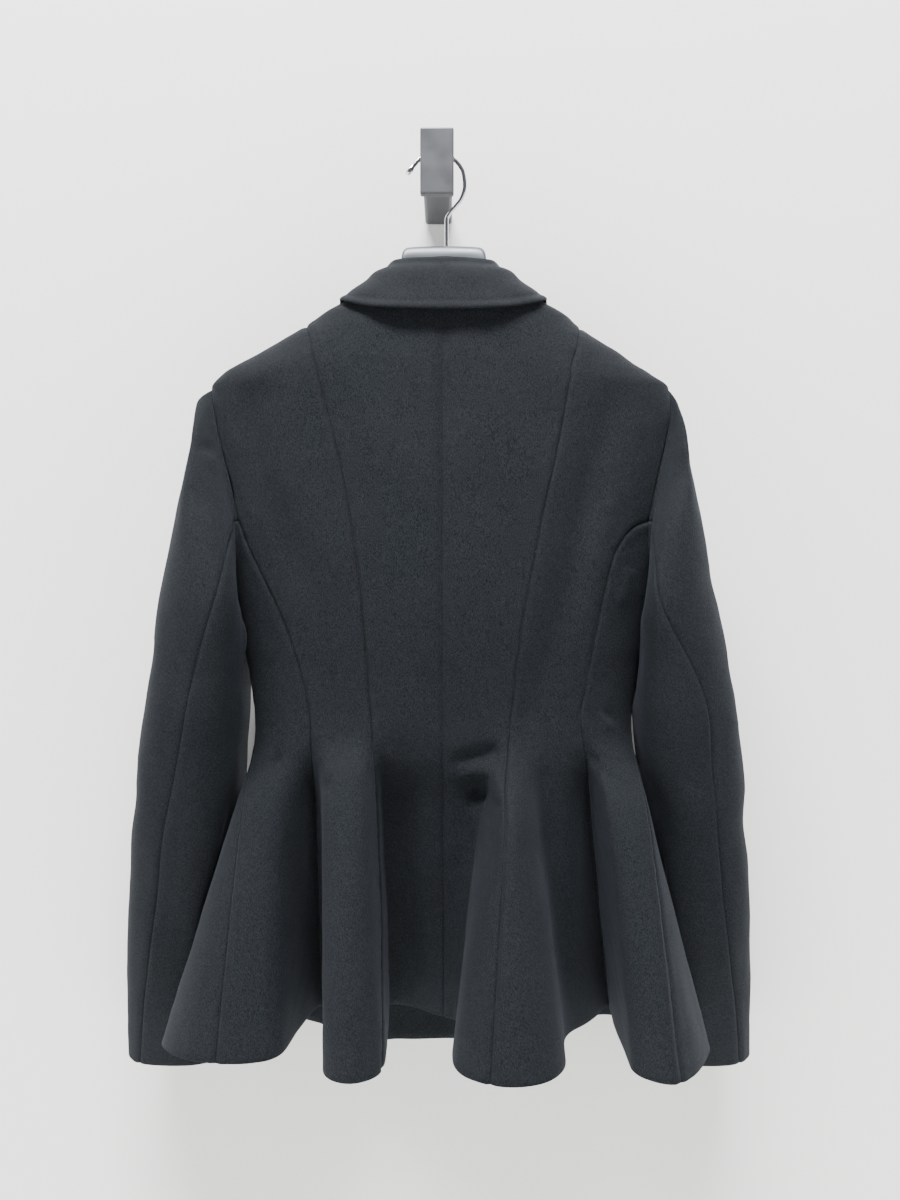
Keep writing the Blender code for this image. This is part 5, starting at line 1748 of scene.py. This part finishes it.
@dataclass(frozen=True)
class Studio:
    """Pale wall and floor, soft light and the camera."""

    wall_y: float = 0.0015
    wall_size: float = 5.0
    floor_z: float = -1.45
    floor_size: float = 12.0
    paint: tuple[float, float, float, float] = (0.80, 0.80, 0.785, 1.0)
    air: tuple[float, float, float, float] = (0.90, 0.94, 1.0, 1.0)
    camera_place: tuple[float, float, float] = (0.0118, -0.945, -0.3998)
    lens: float = 27.09

    def build(self) -> None:
        """Make the stage, the lights and the camera."""
        self.plane("studio_wall", (0.0, self.wall_y, -0.3), (math.radians(90.0), 0.0, 0.0),
                   self.wall_size, True)
        self.plane("studio_floor", (0.0, -1.4, self.floor_z), (0.0, 0.0, 0.0), self.floor_size, False)
        world = bpy.data.worlds.new("studio_air")
        world.use_nodes = True
        set_inputs(world.node_tree.nodes["Background"], {"Color": self.air, "Strength": 0.17})
        bpy.context.scene.world = world
        self.light("overhead", (-0.25, -1.45, 2.8), (0.0, -0.12, -0.5), (2.4, 0.8), 610.0)
        self.light("left_window", (-1.75, -1.35, -0.5), (0.0, -0.1, -0.5), (1.3, 1.6), 20.0)
        self.light("right_window", (1.75, -1.35, -0.5), (0.0, -0.1, -0.5), (1.3, 1.6), 17.0)
        self.light("far_fill", (0.6, 1.9, 1.1), (0.0, -0.1, -0.4), (1.8, 1.8), 150.0)
        camera = bpy.data.objects.new("camera", bpy.data.cameras.new("camera"))
        bpy.context.scene.collection.objects.link(camera)
        camera.location = self.camera_place
        camera.rotation_euler = (math.radians(90.0), 0.0, 0.0)
        camera.data.lens = self.lens
        camera.data.sensor_width = 36.0
        camera.data.clip_start = 0.01
        bpy.context.scene.camera = camera

    def plane(self, name: str, place: tuple, turn: tuple, size: float, one_sided: bool) -> None:
        """A plain pale plane of the stage.

        Args:
            name: Name of the plane.
            place: Its centre in metres.
            turn: Its rotation.
            size: Its side in metres.
            one_sided: Whether it is clear from behind and casts no shadow.
        """
        h = 0.5 * size
        mesh = bpy.data.meshes.new(name)
        mesh.from_pydata([(-h, -h, 0.0), (h, -h, 0.0), (h, h, 0.0), (-h, h, 0.0)], [], [(0, 1, 2, 3)])
        obj = bpy.data.objects.new(name, mesh)
        obj.location = place
        obj.rotation_euler = turn
        bpy.context.scene.collection.objects.link(obj)
        made = bpy.data.materials.new(name)
        made.use_nodes = True
        tree = made.node_tree
        shader = tree.nodes["Principled BSDF"]
        set_inputs(shader, {"Base Color": self.paint, "Roughness": 0.9})
        if one_sided:
            clear = add_node(tree, "BsdfTransparent", {})
            mix = add_node(tree, "MixShader", {})
            geometry = add_node(tree, "NewGeometry", {})
            path = add_node(tree, "LightPath", {})
            either = add_node(tree, "Math", {}, "MAXIMUM")
            link = tree.links.new
            link(geometry.outputs["Backfacing"], either.inputs[0])
            link(path.outputs["Is Shadow Ray"], either.inputs[1])
            link(either.outputs[0], mix.inputs["Fac"])
            link(shader.outputs["BSDF"], mix.inputs[1])
            link(clear.outputs["BSDF"], mix.inputs[2])
            link(mix.outputs["Shader"], tree.nodes["Material Output"].inputs["Surface"])
        obj.data.materials.append(made)

    def light(self, name: str, place: tuple, aim: tuple, size: tuple[float, float], power: float) -> None:
        """A soft rectangular light.

        Args:
            name: Name of the light.
            place: Where it stands in metres.
            aim: What it faces.
            size: Its sides in metres.
            power: Watts.
        """
        lamp = bpy.data.lights.new(name, "AREA")
        lamp.shape = "RECTANGLE"
        lamp.size, lamp.size_y = size
        lamp.energy = power
        obj = bpy.data.objects.new(name, lamp)
        obj.location = place
        obj.rotation_euler = (Vector(aim) - Vector(place)).to_track_quat("-Z", "Y").to_euler()
        bpy.context.scene.collection.objects.link(obj)


def carry_over(node: str, material: bpy.types.Material) -> None:
    """Give a solid that stays its procedural material.

    Args:
        node: Name of the solid's node.
        material: Its finish.
    """
    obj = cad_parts[node]
    for slot in obj.material_slots:
        slot.material = material
    LOG.info("kept %s", node)


# Width, depth (a ridge above 0), and the path in two numbers: distance from the centre line and
# height, or on the faces at the right and left the depth y and height
BODY_CREASES = tuple(Crease(*row) for row in (
    (10.0, -6.0, ((27.0, -453.0), (36.0, -460.0))),
    (7.0, 4.5, ((16.0, -438.0), (29.0, -432.0), (44.0, -432.0), (50.0, -452.0))),
    (7.0, -4.5, ((11.0, -424.0), (28.0, -419.0), (49.0, -413.0))),
    (16.0, -1.6, ((-52.0, -413.0), (-16.0, -411.0))),
    (15.0, 4.0, ((-96.0, -428.0), (-72.0, -438.0))),
    (6.0, -3.5, ((-104.0, -438.0), (-98.0, -444.0))),
    (6.5, -3.5, ((-158.0, -429.0), (-146.0, -418.0))),
    (4.0, -2.2, ((148.0, -377.0), (158.0, -391.0))),
    (4.5, 1.8, ((143.0, -383.0), (152.0, -396.0))),
    (6.0, -3.5, ((133.0, -417.0), (152.0, -440.0))),
    (11.0, -6.0, ((88.0, -430.0), (100.0, -530.0), (118.0, -650.0))),
    (19.0, -5.4, ((-160.0, -84.0), (-170.0, -116.0), (-167.0, -160.0), (-151.0, -206.0), (-124.0, -264.0))),
    (17.0, -5.6, ((162.0, -86.0), (146.0, -122.0), (132.0, -170.0), (120.0, -230.0), (104.0, -300.0),
                  (80.0, -392.0))),
    (11.0, 2.4, ((150.0, -190.0), (138.0, -240.0), (124.0, -310.0))),
    (9.0, 2.0, ((168.0, -250.0), (160.0, -283.0))),
    (22.0, -1.4, ((-60.0, -150.0), (-52.0, -260.0), (-46.0, -360.0))),
    (20.0, -1.2, ((48.0, -120.0), (56.0, -210.0), (40.0, -330.0))),
    (12.0, 1.6, ((-140.0, -66.0), (-184.0, -84.0))),
    (14.0, -2.4, ((138.0, -180.0), (116.0, -240.0), (98.0, -305.0)), Face.FRONT),
    (13.0, -2.0, ((-142.0, -168.0), (-120.0, -236.0), (-94.0, -316.0)), Face.FRONT),
    (7.0, -1.6, ((15.0, -362.0), (42.0, -352.0), (74.0, -338.0)), Face.FRONT),
    (7.0, -1.4, ((-14.0, -366.0), (-46.0, -360.0), (-70.0, -348.0)), Face.FRONT),
    (10.0, -3.2, ((84.0, -436.0), (98.0, -530.0), (108.0, -652.0)), Face.FRONT),
    (11.0, -2.8, ((-82.0, -428.0), (-92.0, -516.0), (-104.0, -640.0)), Face.FRONT),
))
SLEEVE_CREASES = tuple(Crease(*row) for row in (
    (4.0, -2.6, ((-218.0, -139.0), (-206.0, -144.0), (-193.0, -147.0))),
    (4.5, 1.8, ((-214.0, -149.0), (-196.0, -157.0))),
    (9.0, -2.2, ((-222.0, -178.0), (-205.0, -200.0))),
    (16.0, -2.8, ((-236.0, -290.0), (-226.0, -325.0), (-210.0, -356.0))),
    (18.0, -2.6, ((-264.0, -415.0), (-248.0, -442.0), (-230.0, -474.0))),
    (20.0, -2.2, ((-272.0, -515.0), (-258.0, -550.0), (-242.0, -590.0))),
    (7.0, -2.0, ((218.0, -150.0), (206.0, -176.0))),
    (15.0, -2.6, ((238.0, -250.0), (226.0, -278.0), (212.0, -304.0))),
    (18.0, -2.8, ((254.0, -385.0), (240.0, -415.0), (224.0, -450.0))),
    (18.0, -2.2, ((264.0, -495.0), (252.0, -530.0), (238.0, -565.0))),
    (14.0, -2.4, ((234.0, -298.0), (220.0, -328.0), (206.0, -350.0)), Face.FRONT),
    (16.0, -2.2, ((256.0, -430.0), (240.0, -462.0), (226.0, -492.0)), Face.FRONT),
    (15.0, -2.4, ((-238.0, -308.0), (-222.0, -342.0), (-208.0, -364.0)), Face.FRONT),
    (17.0, -2.0, ((-266.0, -448.0), (-248.0, -474.0), (-230.0, -506.0)), Face.FRONT),
    (16.0, -2.0, ((-34.0, -330.0), (0.0, -352.0), (32.0, -364.0)), Face.RIGHT),
    (18.0, -1.8, ((-20.0, -468.0), (16.0, -492.0), (48.0, -500.0)), Face.RIGHT),
    (15.0, -2.0, ((-38.0, -316.0), (-6.0, -340.0), (26.0, -350.0)), Face.LEFT),
    (18.0, -1.8, ((-14.0, -450.0), (20.0, -476.0), (50.0, -486.0)), Face.LEFT),
))

# Hard finishes: name, darker and lighter colour, roughness, metal
HORN = HardFinish("horn", (0.010, 0.010, 0.012), (0.022, 0.021, 0.022), 0.32)
MOULDED_PLASTIC = HardFinish("moulded_plastic", (0.030, 0.038, 0.052), (0.040, 0.050, 0.066), 0.36)
POLISHED_WIRE = HardFinish("polished_wire", (0.60, 0.61, 0.63), (0.66, 0.67, 0.69), 0.14, 1.0)
SATIN_ANTHRACITE = HardFinish("satin_anthracite", (0.030, 0.032, 0.037), (0.040, 0.042, 0.048), 0.45)


def main() -> None:
    """Build every piece in order."""
    logging.basicConfig(level=logging.INFO, format="%(message)s")
    twill = Grain.twill()
    wear = Grain.wear()
    wool = WoolFinish().material(twill, wear)
    thread = WoolFinish(name="silk_thread", roughness=0.5, sheen=0.1).material(twill, wear)
    horn = HORN.material(wear)
    plastic = MOULDED_PLASTIC.material(wear)
    chrome = POLISHED_WIRE.material(wear)
    anthracite = SATIN_ANTHRACITE.material(wear)
    form = BodyForm()
    BodyPanels(form, wool, BODY_CREASES).build()
    Sleeves(form, wool, SLEEVE_CREASES).build()
    Lapels(form, wool).build()
    Collar(form, wool).build()
    Closure(form, horn, thread).build()
    Hanger(plastic, chrome).build()
    carry_over("wall_hook_arm", anthracite)
    carry_over("wall_hook_plate", anthracite)
    Studio().build()


if __name__ == "__main__":
    main()
